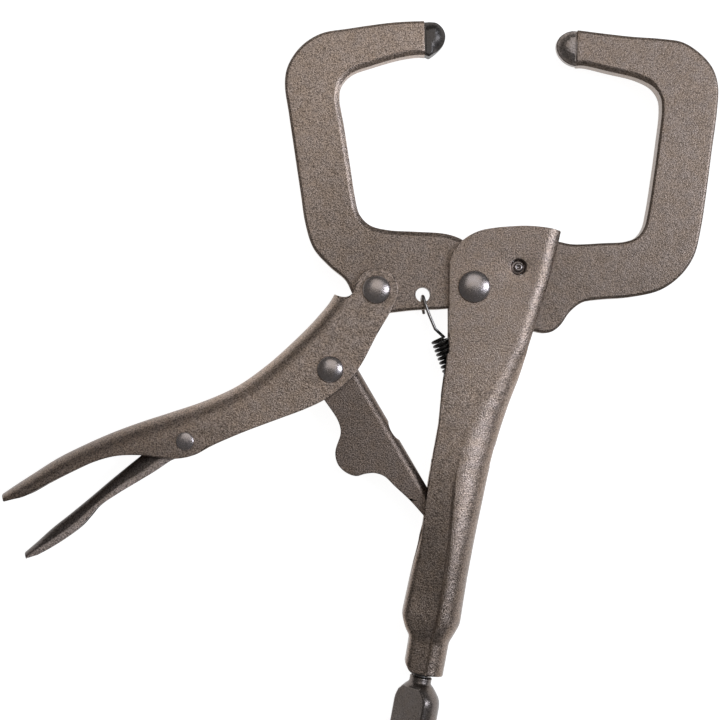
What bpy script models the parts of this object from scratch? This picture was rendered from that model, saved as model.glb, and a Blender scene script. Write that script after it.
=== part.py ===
"""Locking C clamp, 11 inch class: two forged C arms, a folded sheet handle with a
closed round lower end, an over-centre lever with its link, a release lever
inside it, a return spring and an adjusting screw.

The clamp lies flat on its side. Lengths below are in millimetres in the plan
of the clamp: X to the right, Y towards the jaw tips, Z through the thickness,
measured from the main pivot's centre. PLAN_ORIGIN moves all of it to the
part's own origin, which is the bottom centre of its box.
"""

import math

import bmesh
import bpy
import numpy as np
from mathutils import Matrix, Vector

MM = 0.001

# ---- driving dimensions (mm) -------------------------------------------------
JAW_HALF = 4.5            # half thickness of both forged arms
CHEEK_OUT = 7.0           # outer face of the main handle's cheeks
SHEET = 2.2               # main handle sheet
LEVER_OUT = 6.8           # outer face of the lever's cheeks
LEVER_SHEET = 2.0
LINK_OUT = 4.35           # outer face of the link's flanges
LINK_SHEET = 1.8
RELEASE_OUT = 4.4         # outer face of the release lever's flanges
RELEASE_SHEET = 1.6
TUBE_HALF = 9.3           # half depth of the round lower handle
RUN = 0.16                # running clearance round a shank
GAP = 0.15                # clearance under a rivet head

PIVOT = (0.0, 0.0)        # main rivet
LEVER_PIN = (-36.1, -1.0)
LINK_PIN = (-53.2, -30.5)
RELEASE_PIN = (-106.8, -57.0)
DOWEL = (16.4, 7.3)
SPRING_HOLE = (-18.9, -2.8)
SPRING_HOLE_R = 2.75

SCREW_BASE = (-19.3, -144.0)      # where the screw's axis leaves the handle's neck
SCREW_DIR = (0.183, 0.983)        # up the handle, towards the jaws
LINK_SEAT_H = 50.14               # link's tail centre, up the axis from the base
THREAD_R = 4.0
BORE_R = 4.35

# plan box of the whole clamp, used to centre it
PLAN_X = (-175.4, 90.6)
PLAN_Y = (-174.5, 98.75)
PLAN_ORIGIN = (0.5 * (PLAN_X[0] + PLAN_X[1]), 0.5 * (PLAN_Y[0] + PLAN_Y[1]), -TUBE_HALF)


# ---- axes of the handle ------------------------------------------------------
_dl = math.hypot(*SCREW_DIR)
DX, DY = SCREW_DIR[0] / _dl, SCREW_DIR[1] / _dl


def on_axis(h, v=0.0):
    """Plan point at height h up the screw's axis and v to its right."""
    return (SCREW_BASE[0] + h * DX + v * DY, SCREW_BASE[1] + h * DY - v * DX)


LINK_SEAT = on_axis(LINK_SEAT_H)


# ---- small helpers -----------------------------------------------------------
def clear_scene():
    for obj in list(bpy.data.objects):
        bpy.data.objects.remove(obj, do_unlink=True)


def new_collection(name, shown=True):
    coll = bpy.data.collections.new(name)
    bpy.context.scene.collection.children.link(coll)
    coll.hide_render = not shown
    return coll


def metal(name, color, roughness, metallic=1.0):
    mat = bpy.data.materials.new(name)
    mat.use_nodes = True
    node = mat.node_tree.nodes["Principled BSDF"]
    node.inputs["Base Color"].default_value = (*color, 1.0)
    node.inputs["Roughness"].default_value = roughness
    node.inputs["Metallic"].default_value = metallic
    return mat


def world(x, y, z):
    return Vector(((x - PLAN_ORIGIN[0]) * MM, (y - PLAN_ORIGIN[1]) * MM, (z - PLAN_ORIGIN[2]) * MM))


def catmull(points, closed, steps):
    """Centripetal curve through the points, with the given steps per span."""
    pts = [np.array(p, float) for p in points]
    count = len(pts)
    out = []
    spans = count if closed else count - 1
    for i in range(spans):
        p1, p2 = pts[i], pts[(i + 1) % count]
        p0 = pts[i - 1] if (closed or i > 0) else 2 * p1 - p2
        p3 = pts[(i + 2) % count] if (closed or i + 2 < count) else 2 * p2 - p1
        t = [0.0]
        for a, b in ((p0, p1), (p1, p2), (p2, p3)):
            t.append(t[-1] + max(np.linalg.norm(b - a), 1e-6) ** 0.5)
        for k in range(steps):
            s = t[1] + (t[2] - t[1]) * k / steps
            a1 = (t[1] - s) / (t[1] - t[0]) * p0 + (s - t[0]) / (t[1] - t[0]) * p1
            a2 = (t[2] - s) / (t[2] - t[1]) * p1 + (s - t[1]) / (t[2] - t[1]) * p2
            a3 = (t[3] - s) / (t[3] - t[2]) * p2 + (s - t[2]) / (t[3] - t[2]) * p3
            b1 = (t[2] - s) / (t[2] - t[0]) * a1 + (s - t[0]) / (t[2] - t[0]) * a2
            b2 = (t[3] - s) / (t[3] - t[1]) * a2 + (s - t[1]) / (t[3] - t[1]) * a3
            out.append(tuple((t[2] - s) / (t[2] - t[1]) * b1 + (s - t[1]) / (t[2] - t[1]) * b2))
    if not closed:
        out.append(tuple(pts[-1]))
    return out


def arc(cx, cy, r, a0, a1, n):
    """Points on an arc, angles in degrees, both ends included."""
    return [
        (cx + r * math.cos(math.radians(a0 + (a1 - a0) * i / n)),
         cy + r * math.sin(math.radians(a0 + (a1 - a0) * i / n)))
        for i in range(n + 1)
    ]


def circle(cx, cy, r, n):
    return arc(cx, cy, r, 0.0, 360.0 - 360.0 / n, n - 1)


def link_to(obj, coll):
    coll.objects.link(obj)
    return obj


def mesh_from(obj, name, coll):
    """The evaluated curve as a mesh object of its own, caps welded."""
    bpy.context.view_layer.update()
    graph = bpy.context.evaluated_depsgraph_get()
    mesh = bpy.data.meshes.new_from_object(obj.evaluated_get(graph))
    mesh.name = name
    bm = bmesh.new()
    bm.from_mesh(mesh)
    bmesh.ops.remove_doubles(bm, verts=bm.verts, dist=2e-6)
    bmesh.ops.recalc_face_normals(bm, faces=bm.faces)
    bm.to_mesh(mesh)
    bm.free()
    made = bpy.data.objects.new(name, mesh)
    made.matrix_world = obj.matrix_world.copy()
    coll.objects.link(made)
    data = obj.data
    bpy.data.objects.remove(obj, do_unlink=True)
    bpy.data.curves.remove(data)
    made.name = name
    return made


def plate(name, outlines, z0, z1, coll, origin=(0.0, 0.0)):
    """A flat plate between z0 and z1. The first outline is its edge, the others are holes."""
    curve = bpy.data.curves.new(name + "_outline", "CURVE")
    curve.dimensions = "2D"
    curve.fill_mode = "BOTH"
    curve.extrude = 0.5 * (z1 - z0) * MM
    for pts in outlines:
        spline = curve.splines.new("POLY")
        spline.points.add(len(pts) - 1)
        for p, (x, y) in zip(spline.points, pts):
            p.co = ((x - origin[0]) * MM, (y - origin[1]) * MM, 0.0, 1.0)
        spline.use_cyclic_u = True
    obj = bpy.data.objects.new(name + "_curve", curve)
    obj.location = world(origin[0], origin[1], 0.5 * (z0 + z1))
    coll.objects.link(obj)
    return mesh_from(obj, name, coll)


def turned(name, profile, place, coll, steps=20, axis="Z"):
    """A turned solid. profile is (radius, height) from its top to its bottom."""
    mesh = bpy.data.meshes.new(name)
    bm = bmesh.new()
    verts = [bm.verts.new((r * MM, 0.0, h * MM)) for r, h in profile]
    for a, b in zip(verts, verts[1:]):
        bm.edges.new((a, b))
    bm.to_mesh(mesh)
    bm.free()
    obj = bpy.data.objects.new(name, mesh)
    obj.location = world(*place)
    if axis == "SCREW":
        # local Z runs up the screw's axis, local Y stays in the plan
        up = Vector((DX, DY, 0.0))
        side = Vector((0.0, 0.0, 1.0))
        other = side.cross(up)
        rot = Matrix((side, other, up)).transposed().to_4x4()
        obj.matrix_world = Matrix.Translation(world(*place)) @ rot
    coll.objects.link(obj)
    screw = obj.modifiers.new("turn", "SCREW")
    screw.steps = steps
    screw.render_steps = steps
    screw.use_merge_vertices = True
    screw.merge_threshold = 0.00001
    screw.use_smooth_shade = True
    return obj


def cut(obj, cutter, operation="DIFFERENCE"):
    mod = obj.modifiers.new(operation.lower() + "_" + cutter.name, "BOOLEAN")
    mod.operation = operation
    mod.solver = "EXACT"
    mod.object = cutter
    return mod


def bake(obj):
    """Applies the object's modifiers, so its mesh can be a cutter or be read again."""
    bpy.context.view_layer.update()
    graph = bpy.context.evaluated_depsgraph_get()
    mesh = bpy.data.meshes.new_from_object(obj.evaluated_get(graph))
    obj.modifiers.clear()
    old = obj.data
    obj.data = mesh
    bpy.data.meshes.remove(old)
    return obj


def tidy(obj, dist=0.004):
    """Welds slivers left by a cut."""
    bm = bmesh.new()
    bm.from_mesh(obj.data)
    bmesh.ops.remove_doubles(bm, verts=bm.verts, dist=dist * MM)
    bmesh.ops.dissolve_degenerate(bm, edges=bm.edges, dist=1e-7)
    bmesh.ops.dissolve_limit(bm, angle_limit=math.radians(0.2), verts=bm.verts, edges=bm.edges)
    bmesh.ops.triangulate(bm, faces=bm.faces)
    bm.to_mesh(obj.data)
    bm.free()
    return obj


def paint(obj, mat, smooth=True):
    obj.data.materials.clear()
    obj.data.materials.append(mat)
    if smooth and obj.type == "MESH":
        obj.data.shade_smooth()
        obj.data.set_sharp_from_angle(angle=math.radians(32))


def as_guide(obj):
    obj.hide_render = True
    obj.display_type = "WIRE"


def easy(table, column, at):
    """Monotone cubic through a table's column, read at its first column."""
    x = [row[0] for row in table]
    y = [row[column] for row in table]
    if at <= x[0]:
        return y[0]
    if at >= x[-1]:
        return y[-1]
    d = [(y[i + 1] - y[i]) / (x[i + 1] - x[i]) for i in range(len(x) - 1)]
    m = [d[0]] + [0.0 if a * b <= 0 else 2 * a * b / (a + b) for a, b in zip(d, d[1:])] + [d[-1]]
    i = max(k for k in range(len(x) - 1) if x[k] <= at)
    w = x[i + 1] - x[i]
    s = (at - x[i]) / w
    return (
        (2 * s**3 - 3 * s**2 + 1) * y[i]
        + (s**3 - 2 * s**2 + s) * w * m[i]
        + (-2 * s**3 + 3 * s**2) * y[i + 1]
        + (s**3 - s**2) * w * m[i + 1]
    )


def fold_half(depth, half, bend, curl, gap, flare, count):
    """Upper half of a folded section, from the fold's middle to its free edge.

    u is the distance from the fold, z the height. The fold has an outside bend
    radius `bend`, the free edge curls in with radius `curl` down to z = gap,
    or leans out by `flare` where it doesn't curl.
    """
    bend = min(bend, half - 0.02)
    path = [(0.0, 0.0), (0.0, half - bend)]
    for k in range(1, 9):
        a = math.radians(90.0 * k / 8)
        path.append((bend - bend * math.cos(a), half - bend + bend * math.sin(a)))
    if gap < half - 0.01 and curl > 0.05:
        a_end = math.acos(max(-1.0, min(1.0, 1.0 - (half - gap) / curl)))
        centre = depth - curl * math.sin(a_end)
        path.append((max(centre, bend + 0.05), half))
        for k in range(1, 9):
            a = a_end * k / 8
            path.append((max(centre, bend + 0.05) + curl * math.sin(a), half - curl + curl * math.cos(a)))
    else:
        path.append((depth, half))
    path = np.array(path)
    run = np.concatenate([[0.0], np.cumsum(np.linalg.norm(np.diff(path, axis=0), axis=1))])
    # more points in the bend than along the flat
    bend_end = (half - bend) + bend * math.pi / 2
    first = max(3, int(round(count * 0.5)))
    at = np.concatenate([
        np.linspace(0.0, bend_end, first, endpoint=False),
        np.linspace(bend_end, run[-1], count - first + 1),
    ])
    u = np.interp(at, run, path[:, 0])
    z = np.interp(at, run, path[:, 1])
    if flare:
        z = z + flare * np.clip((u - (depth - 3.2)) / 3.2, 0.0, 1.0) ** 2
    return u, z


def channel(name, stations, sheet, coll, count=9):
    """A folded sheet: an open surface through the stations, thickened inwards.

    A station is (fold point, free edge point, half depth, bend, curl, gap, flare).
    """
    mesh = bpy.data.meshes.new(name)
    bm = bmesh.new()
    rows = []
    for (fx, fy), (ex, ey), half, bend, curl, gap, flare in stations:
        depth = math.hypot(ex - fx, ey - fy)
        dx, dy = (ex - fx) / depth, (ey - fy) / depth
        u, z = fold_half(depth, half, bend, curl, gap, flare, count)
        row = []
        for uu, zz in list(zip(u, z))[:0:-1]:
            row.append((fx + dx * uu, fy + dy * uu, zz))
        row.append((fx, fy, 0.0))
        for uu, zz in list(zip(u, z))[1:]:
            row.append((fx + dx * uu, fy + dy * uu, -zz))
        rows.append([bm.verts.new(world(*p)) for p in row])
    for a, b in zip(rows, rows[1:]):
        for i in range(len(a) - 1):
            bm.faces.new((a[i], a[i + 1], b[i + 1], b[i]))
    bm.normal_update()
    # outward at the fold: away from the free edge
    f = rows[len(rows) // 2]
    mid = f[len(f) // 2]
    (fx, fy), (ex, ey) = stations[len(rows) // 2][0], stations[len(rows) // 2][1]
    normal = sum((face.normal for face in mid.link_faces), Vector())
    if normal.dot(Vector((fx - ex, fy - ey, 0.0))) < 0:
        bmesh.ops.reverse_faces(bm, faces=bm.faces)
    bm.to_mesh(mesh)
    bm.free()
    obj = bpy.data.objects.new(name, mesh)
    coll.objects.link(obj)
    solid = obj.modifiers.new("sheet", "SOLIDIFY")
    solid.thickness = sheet * MM
    solid.offset = -1.0
    solid.use_even_offset = True
    solid.use_quality_normals = True
    return bake(obj)


def set_origin(obj, place):
    """Moves the object's origin to a point without moving its shape."""
    target = world(*place)
    shift = Matrix.Translation(target).inverted() @ obj.matrix_world
    obj.data.transform(shift)
    obj.matrix_world = Matrix.Translation(target)


# ---- outlines ----------------------------------------------------------------
def moving_jaw_outline(q=1):
    """Left arm: clamping nose, curved spine, then the eye of the lever and of the main pivot."""
    back = catmull([
        (-16.5, 98.75), (-29.3, 98.2), (-46.3, 95.9), (-56.8, 94.0), (-64.2, 89.2), (-69.0, 82.0),
        (-70.1, 75.4), (-68.6, 64.3), (-66.7, 51.4), (-64.2, 34.6), (-62.6, 24.0), (-59.6, 14.6),
        (-53.4, 7.6), (-47.6, 2.6), (-45.2, -2.2),
    ], False, q)
    eye = arc(LEVER_PIN[0], LEVER_PIN[1], 9.1, 188.0, 262.0, 4 * q)
    under = catmull([(-31.2, -9.5), (-22.0, -8.5), (-13.0, -8.2), (-7.0, -7.7)], False, q)
    hub = arc(0.0, 0.0, 8.9, -112.0, 55.0, 8 * q)
    inner = catmull([
        (-1.0, 15.2), (-5.0, 18.0), (-10.6, 19.8), (-21.9, 20.6), (-32.0, 21.2), (-38.6, 23.0),
        (-42.4, 27.0), (-44.0, 33.0), (-46.0, 46.0), (-48.2, 60.0), (-49.9, 70.3), (-49.2, 75.0),
        (-45.4, 79.3), (-37.9, 82.1), (-27.0, 85.2), (-20.8, 86.1), (-16.6, 86.0),
    ], False, q)
    nose = [(-13.6, 87.2), (-11.4, 89.6), (-10.35, 92.2), (-10.35, 94.9), (-11.9, 97.2), (-13.9, 98.4)]
    return back + eye + under + hub + [(5.6, 9.6)][:0] + inner + nose


def fixed_jaw_outline(q=1):
    """Right arm and its tang, which fills the head between the cheeks."""
    back = catmull([
        (38.0, 95.3), (47.7, 94.1), (58.3, 92.9), (70.4, 92.0), (77.5, 90.8), (83.8, 86.8),
        (88.6, 81.2), (90.6, 74.6), (90.2, 65.0), (88.2, 50.0), (86.2, 34.6), (84.2, 21.6),
        (81.6, 11.4), (76.6, 4.2), (69.0, -1.2), (58.0, -3.7), (46.5, -4.6), (40.2, -5.7),
        (35.6, -9.2), (32.0, -14.2), (29.0, -16.5), (26.0, -17.1), (22.2, -16.4),
    ], False, q)
    tang = [(17.5, -19.5), (13.2, -18.6), (11.6, -12.0), (11.6, -4.0), (11.2, 3.4), (10.6, 10.0),
            (12.4, 14.6), (17.0, 16.6), (24.0, 17.2)]
    inner = catmull([
        (31.8, 16.8), (36.4, 15.9), (48.0, 16.3), (56.0, 16.8), (60.6, 18.6), (63.2, 22.2),
        (64.6, 28.0), (66.5, 40.0), (68.4, 54.0), (69.7, 66.0), (69.2, 70.4), (66.6, 74.2),
        (60.5, 77.4), (50.0, 80.0), (41.0, 82.1), (37.2, 82.2),
    ], False, q)
    nose = [(34.0, 83.6), (32.0, 85.6), (30.75, 88.0), (30.75, 91.0), (32.2, 93.4), (34.6, 94.9)]
    return back + tang + inner + nose


def head_trim_outline():
    """Plan of the handle's stamping: true at the head and left edge, wide of the fold elsewhere."""
    crown = catmull([
        (-9.3, 9.0), (-8.3, 11.9), (-6.6, 14.8), (-4.4, 17.1), (-1.4, 19.2), (2.2, 20.8),
        (8.0, 21.9), (14.0, 22.4), (19.0, 22.6), (24.0, 22.3), (28.8, 21.6), (31.8, 20.8),
    ], False, 1)
    right = [(38.0, 18.0), (38.0, -40.0), on_axis(90, 25), on_axis(0.6, 25)]
    left = [on_axis(0.6, -3.6), on_axis(2.8, -5.9), on_axis(4.6, -30), on_axis(122.0, -30),
            (-9.3, -17.1 - 7.5)]
    return crown + right + left


def lever_trim_outline():
    """Plan of the lever's stamping: true along its lower edge and eye, wide of the fold."""
    eye = arc(LEVER_PIN[0], LEVER_PIN[1], 8.0, -10.0, 178.0, 12)
    notch = [(-45.0, -2.6), (-47.6, -3.6), (-51.0, -2.9), (-53.4, -1.0)]
    wide = [(-66.0, -6.0), (-92.0, -26.0), (-130.0, -40.0), (-170.0, -60.0), (-184.0, -72.0)]
    tip = [(-176.0, -79.6), (-174.3, -79.0)]
    lower = catmull([
        (-171.0, -78.7), (-166.1, -77.4), (-158.4, -73.2), (-149.9, -68.9), (-141.5, -65.1), (-132.9, -62.6),
        (-123.6, -62.2), (-116.0, -63.1), (-109.6, -63.5), (-103.2, -62.1), (-97.0, -58.8), (-86.2, -54.1),
        (-73.5, -49.3), (-63.3, -45.5), (-55.6, -41.9), (-49.5, -37.6), (-44.6, -32.8), (-41.2, -27.8),
        (-36.0, -17.8), (-31.2, -9.6), (-28.4, -3.6),
    ], False, 1)
    return eye + notch + wide + tip + lower


def link_trim_outline():
    """Plan of the link's stamping: eye, release cam lobe, tail and the notch in its fold."""
    ux, uy = LINK_SEAT[0] - LINK_PIN[0], LINK_SEAT[1] - LINK_PIN[1]
    ul = math.hypot(ux, uy)
    ux, uy = ux / ul, uy / ul
    ang = math.degrees(math.atan2(uy, ux))

    def at(s, w):
        """s down the link, w towards its fold (upper right)."""
        return (LINK_PIN[0] + ux * s - uy * w, LINK_PIN[1] + uy * s + ux * w)

    head = arc(LINK_PIN[0], LINK_PIN[1], 8.6, ang + 105.0, ang + 262.0, 8)
    lobe = catmull([
        (-55.4, -42.0), (-50.4, -49.6), (-49.4, -54.0), (-51.4, -61.2), (-50.4, -65.8), (-47.2, -68.9),
        (-43.6, -70.1), (-40.4, -69.3), (-36.8, -69.0), (-33.2, -70.2), (-29.4, -73.8), (-23.6, -79.2),
        (-18.6, -84.8),
    ], False, 1)
    tail = arc(LINK_SEAT[0], LINK_SEAT[1], 4.2, ang - 84.0, ang + 80.0, 8)
    wide = [at(ul - 8.0, 13.5), at(37.5, 13.5), at(31.0, 10.0)]
    notch = [(-25.6, -57.4), (-28.3, -56.4), (-30.4, -53.9), (-31.6, -50.6), (-31.2, -47.4)]
    return head + lobe + tail + wide + notch + [at(15.0, 13.5), at(2.0, 13.5)]


def release_trim_outline():
    """Plan of the release lever: nose towards the link, pivot boss, long finger end."""
    boss = arc(RELEASE_PIN[0], RELEASE_PIN[1], 5.9, -62.0, -88.0, 3)
    nose = [(-97.6, -57.4), (-93.6, -54.4), (-90.4, -52.2), (-89.2, -50.4), (-89.6, -48.6), (-91.6, -47.6)]
    wide = [(-98.0, -47.4), (-112.0, -47.5), (-131.0, -60.0), (-160.0, -84.0), (-172.0, -95.0)]
    tip = [(-169.4, -101.2), (-165.6, -100.4)]
    lower = catmull([
        (-161.7, -99.3), (-156.5, -96.5), (-150.4, -92.5), (-145.7, -88.8), (-142.4, -85.1), (-139.4, -81.6),
        (-132.9, -77.1), (-125.9, -72.9), (-118.8, -68.6), (-112.0, -64.2), (-107.6, -62.9), (-103.6, -61.8),
    ], False, 1)
    return nose + wide + tip + lower


# ---- parts -------------------------------------------------------------------
def make_moving_jaw(coll):
    holes = [
        circle(*PIVOT, 3.1 + RUN, 20),
        circle(*LEVER_PIN, 2.6 + RUN, 16),
        circle(*SPRING_HOLE, SPRING_HOLE_R, 16),
    ]
    return plate("moving_jaw", [moving_jaw_outline()] + holes, -JAW_HALF, JAW_HALF, coll)


def make_fixed_jaw(coll):
    holes = [circle(*DOWEL, 2.8 + 0.1, 16)]
    return plate("fixed_jaw", [fixed_jaw_outline()] + holes, -JAW_HALF, JAW_HALF, coll)


# up the axis, left edge, right edge, half depth, fold bend, edge curl, edge gap
HANDLE_TABLE = [
    (0.0, -6.9, 7.9, 7.4, 7.3, 7.3, 0.3),
    (12.6, -7.1, 7.9, 7.4, 7.3, 7.3, 0.3),
    (17.0, -9.6, 9.3, 9.0, 8.9, 9.0, 0.35),
    (21.5, -11.2, 10.6, 9.3, 9.2, 9.2, 0.5),
    (30.0, -11.0, 10.6, 9.3, 9.2, 9.2, 1.2),
    (40.0, -10.6, 10.5, 9.3, 9.2, 9.2, 3.0),
    (49.0, -10.0, 10.4, 9.3, 9.2, 9.2, 6.2),
    (57.0, -10.1, 10.3, 9.3, 9.2, 9.2, 9.3),
    (66.0, -10.6, 10.4, 9.3, 9.1, 9.2, 9.4),
    (78.0, -10.8, 10.6, 8.9, 8.2, 9.2, 9.4),
    (90.0, -10.8, 11.5, 8.0, 6.3, 9.2, 9.4),
    (104.0, -11.8, 13.2, 7.25, 4.6, 9.2, 9.4),
    (119.5, -12.7, 15.9, 7.0, 3.8, 9.2, 9.4),
    (127.0, -13.4, 16.8, 7.0, 3.7, 9.2, 9.4),
    (136.0, -22.0, 17.5, 7.0, 3.7, 9.2, 9.4),
    (152.0, -26.0, 20.0, 7.0, 3.7, 9.2, 9.4),
    (168.0, -26.0, 20.7, 7.0, 3.7, 9.2, 9.4),
    (180.0, -26.0, 20.9, 7.0, 3.7, 9.2, 9.4),
]


def make_main_handle(coll, cutters):
    stations = []
    for h in (0.0, 6.0, 12.6, 14.8, 17.0, 19.4, 21.5, 30.0, 40.0, 46.0, 52.0, 57.0, 66.0, 76.0, 86.0, 96.0,
              107.0, 119.5, 128.0, 136.0, 146.0, 158.0, 180.0):
        left, right, half, bend, curl, gap = (easy(HANDLE_TABLE, k, h) for k in range(1, 7))
        stations.append((on_axis(h, right), on_axis(h, left), half, bend, curl, gap, 0.0))
    handle = channel("main_handle", stations, SHEET, coll, 10)

    trim = plate("handle_trim", [head_trim_outline()], -12.0, 12.0, cutters)
    slot_line = [(8.0, 27.0), (8.0, -15.0), (12.6, -20.4), (20.0, -20.8), (27.0, -20.2), (50.0, -20.2), (50.0, 27.0)]
    slot = plate("handle_slot", [slot_line], -JAW_HALF - 0.2, JAW_HALF + 0.2, cutters)
    pin = plate("handle_pin_hole", [circle(*PIVOT, 3.1 + RUN, 20)], -12.0, 12.0, cutters)
    stud = plate("handle_dowel_hole", [circle(*DOWEL, 2.95, 16)], -12.0, 12.0, cutters)
    window = plate(
        "handle_window",
        [[on_axis(80.6, 14.0), on_axis(80.6, 6.0), on_axis(88.6, 6.0), on_axis(88.6, 14.0)]],
        -2.6, 2.6, cutters,
    )
    for cutter in (trim,):
        cut(handle, cutter, "INTERSECT")
    for cutter in (slot, pin, stud, window):
        cut(handle, cutter)
    # the tongue lanced out of that window and bent inwards, which the spring hooks over
    tongue = plate(
        "handle_tongue",
        [[on_axis(79.4, 10.2), on_axis(79.4, 8.6), on_axis(82.6, 5.6), on_axis(86.8, 4.6),
          on_axis(87.3, 6.2), on_axis(83.8, 7.2), on_axis(81.4, 9.2), on_axis(80.9, 10.2)]],
        -2.1, 2.1, cutters,
    )
    cut(handle, tongue, "UNION")
    bake(handle)
    for obj in (trim, slot, pin, stud, window, tongue):
        as_guide(obj)
    return tidy(handle)


# fold point, free edge point, half depth, fold bend, flare of the free edge
LEVER_STATIONS = [
    ((-46.5, 14.0), (-20.0, 14.0), 6.8, 3.4, 0.0),
    ((-51.6, -2.2), (-24.0, -2.0), 6.8, 3.4, 0.0),
    ((-58.4, -11.4), (-30.0, -18.0), 6.8, 3.6, 0.0),
    ((-69.0, -22.0), (-40.0, -36.0), 6.8, 4.0, 0.0),
    ((-78.0, -29.8), (-58.0, -46.5), 6.9, 4.8, 0.0),
    ((-88.6, -37.1), (-76.5, -54.5), 7.1, 5.8, 0.0),
    ((-101.0, -42.6), (-94.0, -62.0), 7.3, 6.6, 0.0),
    ((-112.6, -46.5), (-106.0, -66.5), 7.4, 7.0, 0.0),
    ((-124.0, -50.2), (-118.0, -66.0), 7.5, 7.2, 0.3),
    ((-134.8, -54.2), (-129.6, -65.0), 7.5, 7.2, 0.5),
    ((-145.0, -58.7), (-140.4, -67.4), 7.5, 7.0, 0.7),
    ((-155.0, -63.7), (-150.6, -71.6), 7.4, 6.4, 0.8),
    ((-164.0, -69.4), (-160.0, -76.4), 7.2, 5.4, 0.8),
    ((-170.2, -73.4), (-167.2, -79.2), 6.8, 4.0, 0.6),
    ((-175.4, -76.9), (-173.2, -80.9), 6.2, 2.8, 0.4),
]


def make_lever(coll, cutters):
    stations = [(f, e, half, bend, 9.0, 99.0, flare) for f, e, half, bend, flare in LEVER_STATIONS]
    lever = channel("lever_handle", stations, LEVER_SHEET, coll, 8)
    trim = plate("lever_trim", [lever_trim_outline()], -12.0, 12.0, cutters)
    holes = [
        plate("lever_hole_a", [circle(*LEVER_PIN, 2.6 + RUN, 16)], -12.0, 12.0, cutters),
        plate("lever_hole_b", [circle(*LINK_PIN, 2.5 + RUN, 16)], -12.0, 12.0, cutters),
        plate("lever_hole_c", [circle(*RELEASE_PIN, 1.9 + RUN, 14)], -12.0, 12.0, cutters),
    ]
    cut(lever, trim, "INTERSECT")
    for hole in holes:
        cut(lever, hole)
    bake(lever)
    for obj in [trim] + holes:
        as_guide(obj)
    return tidy(lever)


def make_link(coll, cutters):
    ux, uy = LINK_SEAT[0] - LINK_PIN[0], LINK_SEAT[1] - LINK_PIN[1]
    ul = math.hypot(ux, uy)
    ux, uy = ux / ul, uy / ul

    def at(s, w):
        return (LINK_PIN[0] + ux * s - uy * w, LINK_PIN[1] + uy * s + ux * w)

    stations = []
    # the fold runs straight, from 8.8 mm off the pin's line to the tail's side
    for s, w in ((-11.0, 9.6), (20.0, 7.6), (45.0, 6.1), (62.0, 5.0), (ul + 8.0, 3.4)):
        stations.append((at(s, w), at(s, w - 30.0), LINK_OUT, 2.9, 9.0, 99.0, 0.0))
    link = channel("toggle_link", stations, LINK_SHEET, coll, 6)
    trim = plate("link_trim", [link_trim_outline()], -12.0, 12.0, cutters)
    hole = plate("link_hole", [circle(*LINK_PIN, 2.5 + RUN, 16)], -12.0, 12.0, cutters)
    cut(link, trim, "INTERSECT")
    cut(link, hole)
    bake(link)
    for obj in (trim, hole):
        as_guide(obj)
    return tidy(link)


RELEASE_STATIONS = [
    ((-88.0, -45.6), (-86.0, -58.0), 4.4, 2.6, 0.0),
    ((-97.0, -49.6), (-95.0, -62.0), 4.4, 2.6, 0.0),
    ((-108.0, -52.2), (-103.4, -66.0), 4.4, 2.8, 0.0),
    ((-117.6, -57.9), (-110.0, -69.6), 4.4, 3.2, 0.0),
    ((-126.0, -64.4), (-119.4, -73.0), 4.5, 3.8, 0.2),
    ((-134.5, -71.3), (-129.6, -79.0), 4.6, 4.2, 0.4),
    ((-142.4, -78.0), (-137.0, -86.0), 4.6, 4.2, 0.5),
    ((-150.2, -84.4), (-144.4, -92.6), 4.6, 4.2, 0.5),
    ((-157.0, -89.8), (-152.4, -97.4), 4.6, 3.8, 0.5),
    ((-163.0, -95.2), (-159.0, -101.8), 4.5, 3.0, 0.4),
    ((-167.0, -98.6), (-164.8, -103.2), 4.3, 2.2, 0.2),
]


def make_release(coll, cutters):
    stations = [(f, e, half, bend, 9.0, 99.0, flare) for f, e, half, bend, flare in RELEASE_STATIONS]
    lever = channel("release_lever", stations, RELEASE_SHEET, coll, 7)
    trim = plate("release_trim", [release_trim_outline()], -12.0, 12.0, cutters)
    hole = plate("release_hole", [circle(*RELEASE_PIN, 1.9 + RUN, 14)], -12.0, 12.0, cutters)
    cut(lever, trim, "INTERSECT")
    cut(lever, hole)
    bake(lever)
    for obj in (trim, hole):
        as_guide(obj)
    return tidy(lever)


def rivet_profile(shank, head, under, top, domes=3):
    """Both heads domed, from the axis at the top to the axis at the bottom."""
    crown = []
    for k in range(domes + 1):
        a = math.radians(90.0 * k / domes)
        crown.append((head * math.sin(a), under + 0.45 + (top - under - 0.45) * math.cos(a)))
    crown[0] = (0.0, top)
    upper = crown + [(head, under), (shank, under)]
    lower = [(r, -z) for r, z in reversed(upper)]
    return upper + lower


def make_rivets(coll):
    return [
        turned("jaw_pivot_rivet", rivet_profile(3.1, 5.9, CHEEK_OUT + GAP, TUBE_HALF), (*PIVOT, 0.0), coll, 20),
        turned("lever_rivet", rivet_profile(2.6, 5.2, LEVER_OUT + GAP, 9.2), (*LEVER_PIN, 0.0), coll, 18),
        turned("toggle_rivet", rivet_profile(2.5, 4.9, LEVER_OUT + GAP, 9.0), (*LINK_PIN, 0.0), coll, 18),
        turned("release_rivet", rivet_profile(1.9, 3.3, 7.6, 8.7), (*RELEASE_PIN, 0.0), coll, 16),
    ]


def make_dowel(coll):
    profile = [(0.0, 6.2), (1.2, 6.1), (1.55, 5.7), (1.55, 4.62), (2.8, 4.4), (2.8, -4.4),
               (1.55, -4.62), (1.55, -5.7), (1.2, -6.1), (0.0, -6.2)]
    return turned("fixed_jaw_dowel", profile, (*DOWEL, 0.0), coll, 16)


SCREW_TOP = 35.6
KNOB_TOP = -0.9
KNOB_END = -29.6


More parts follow.
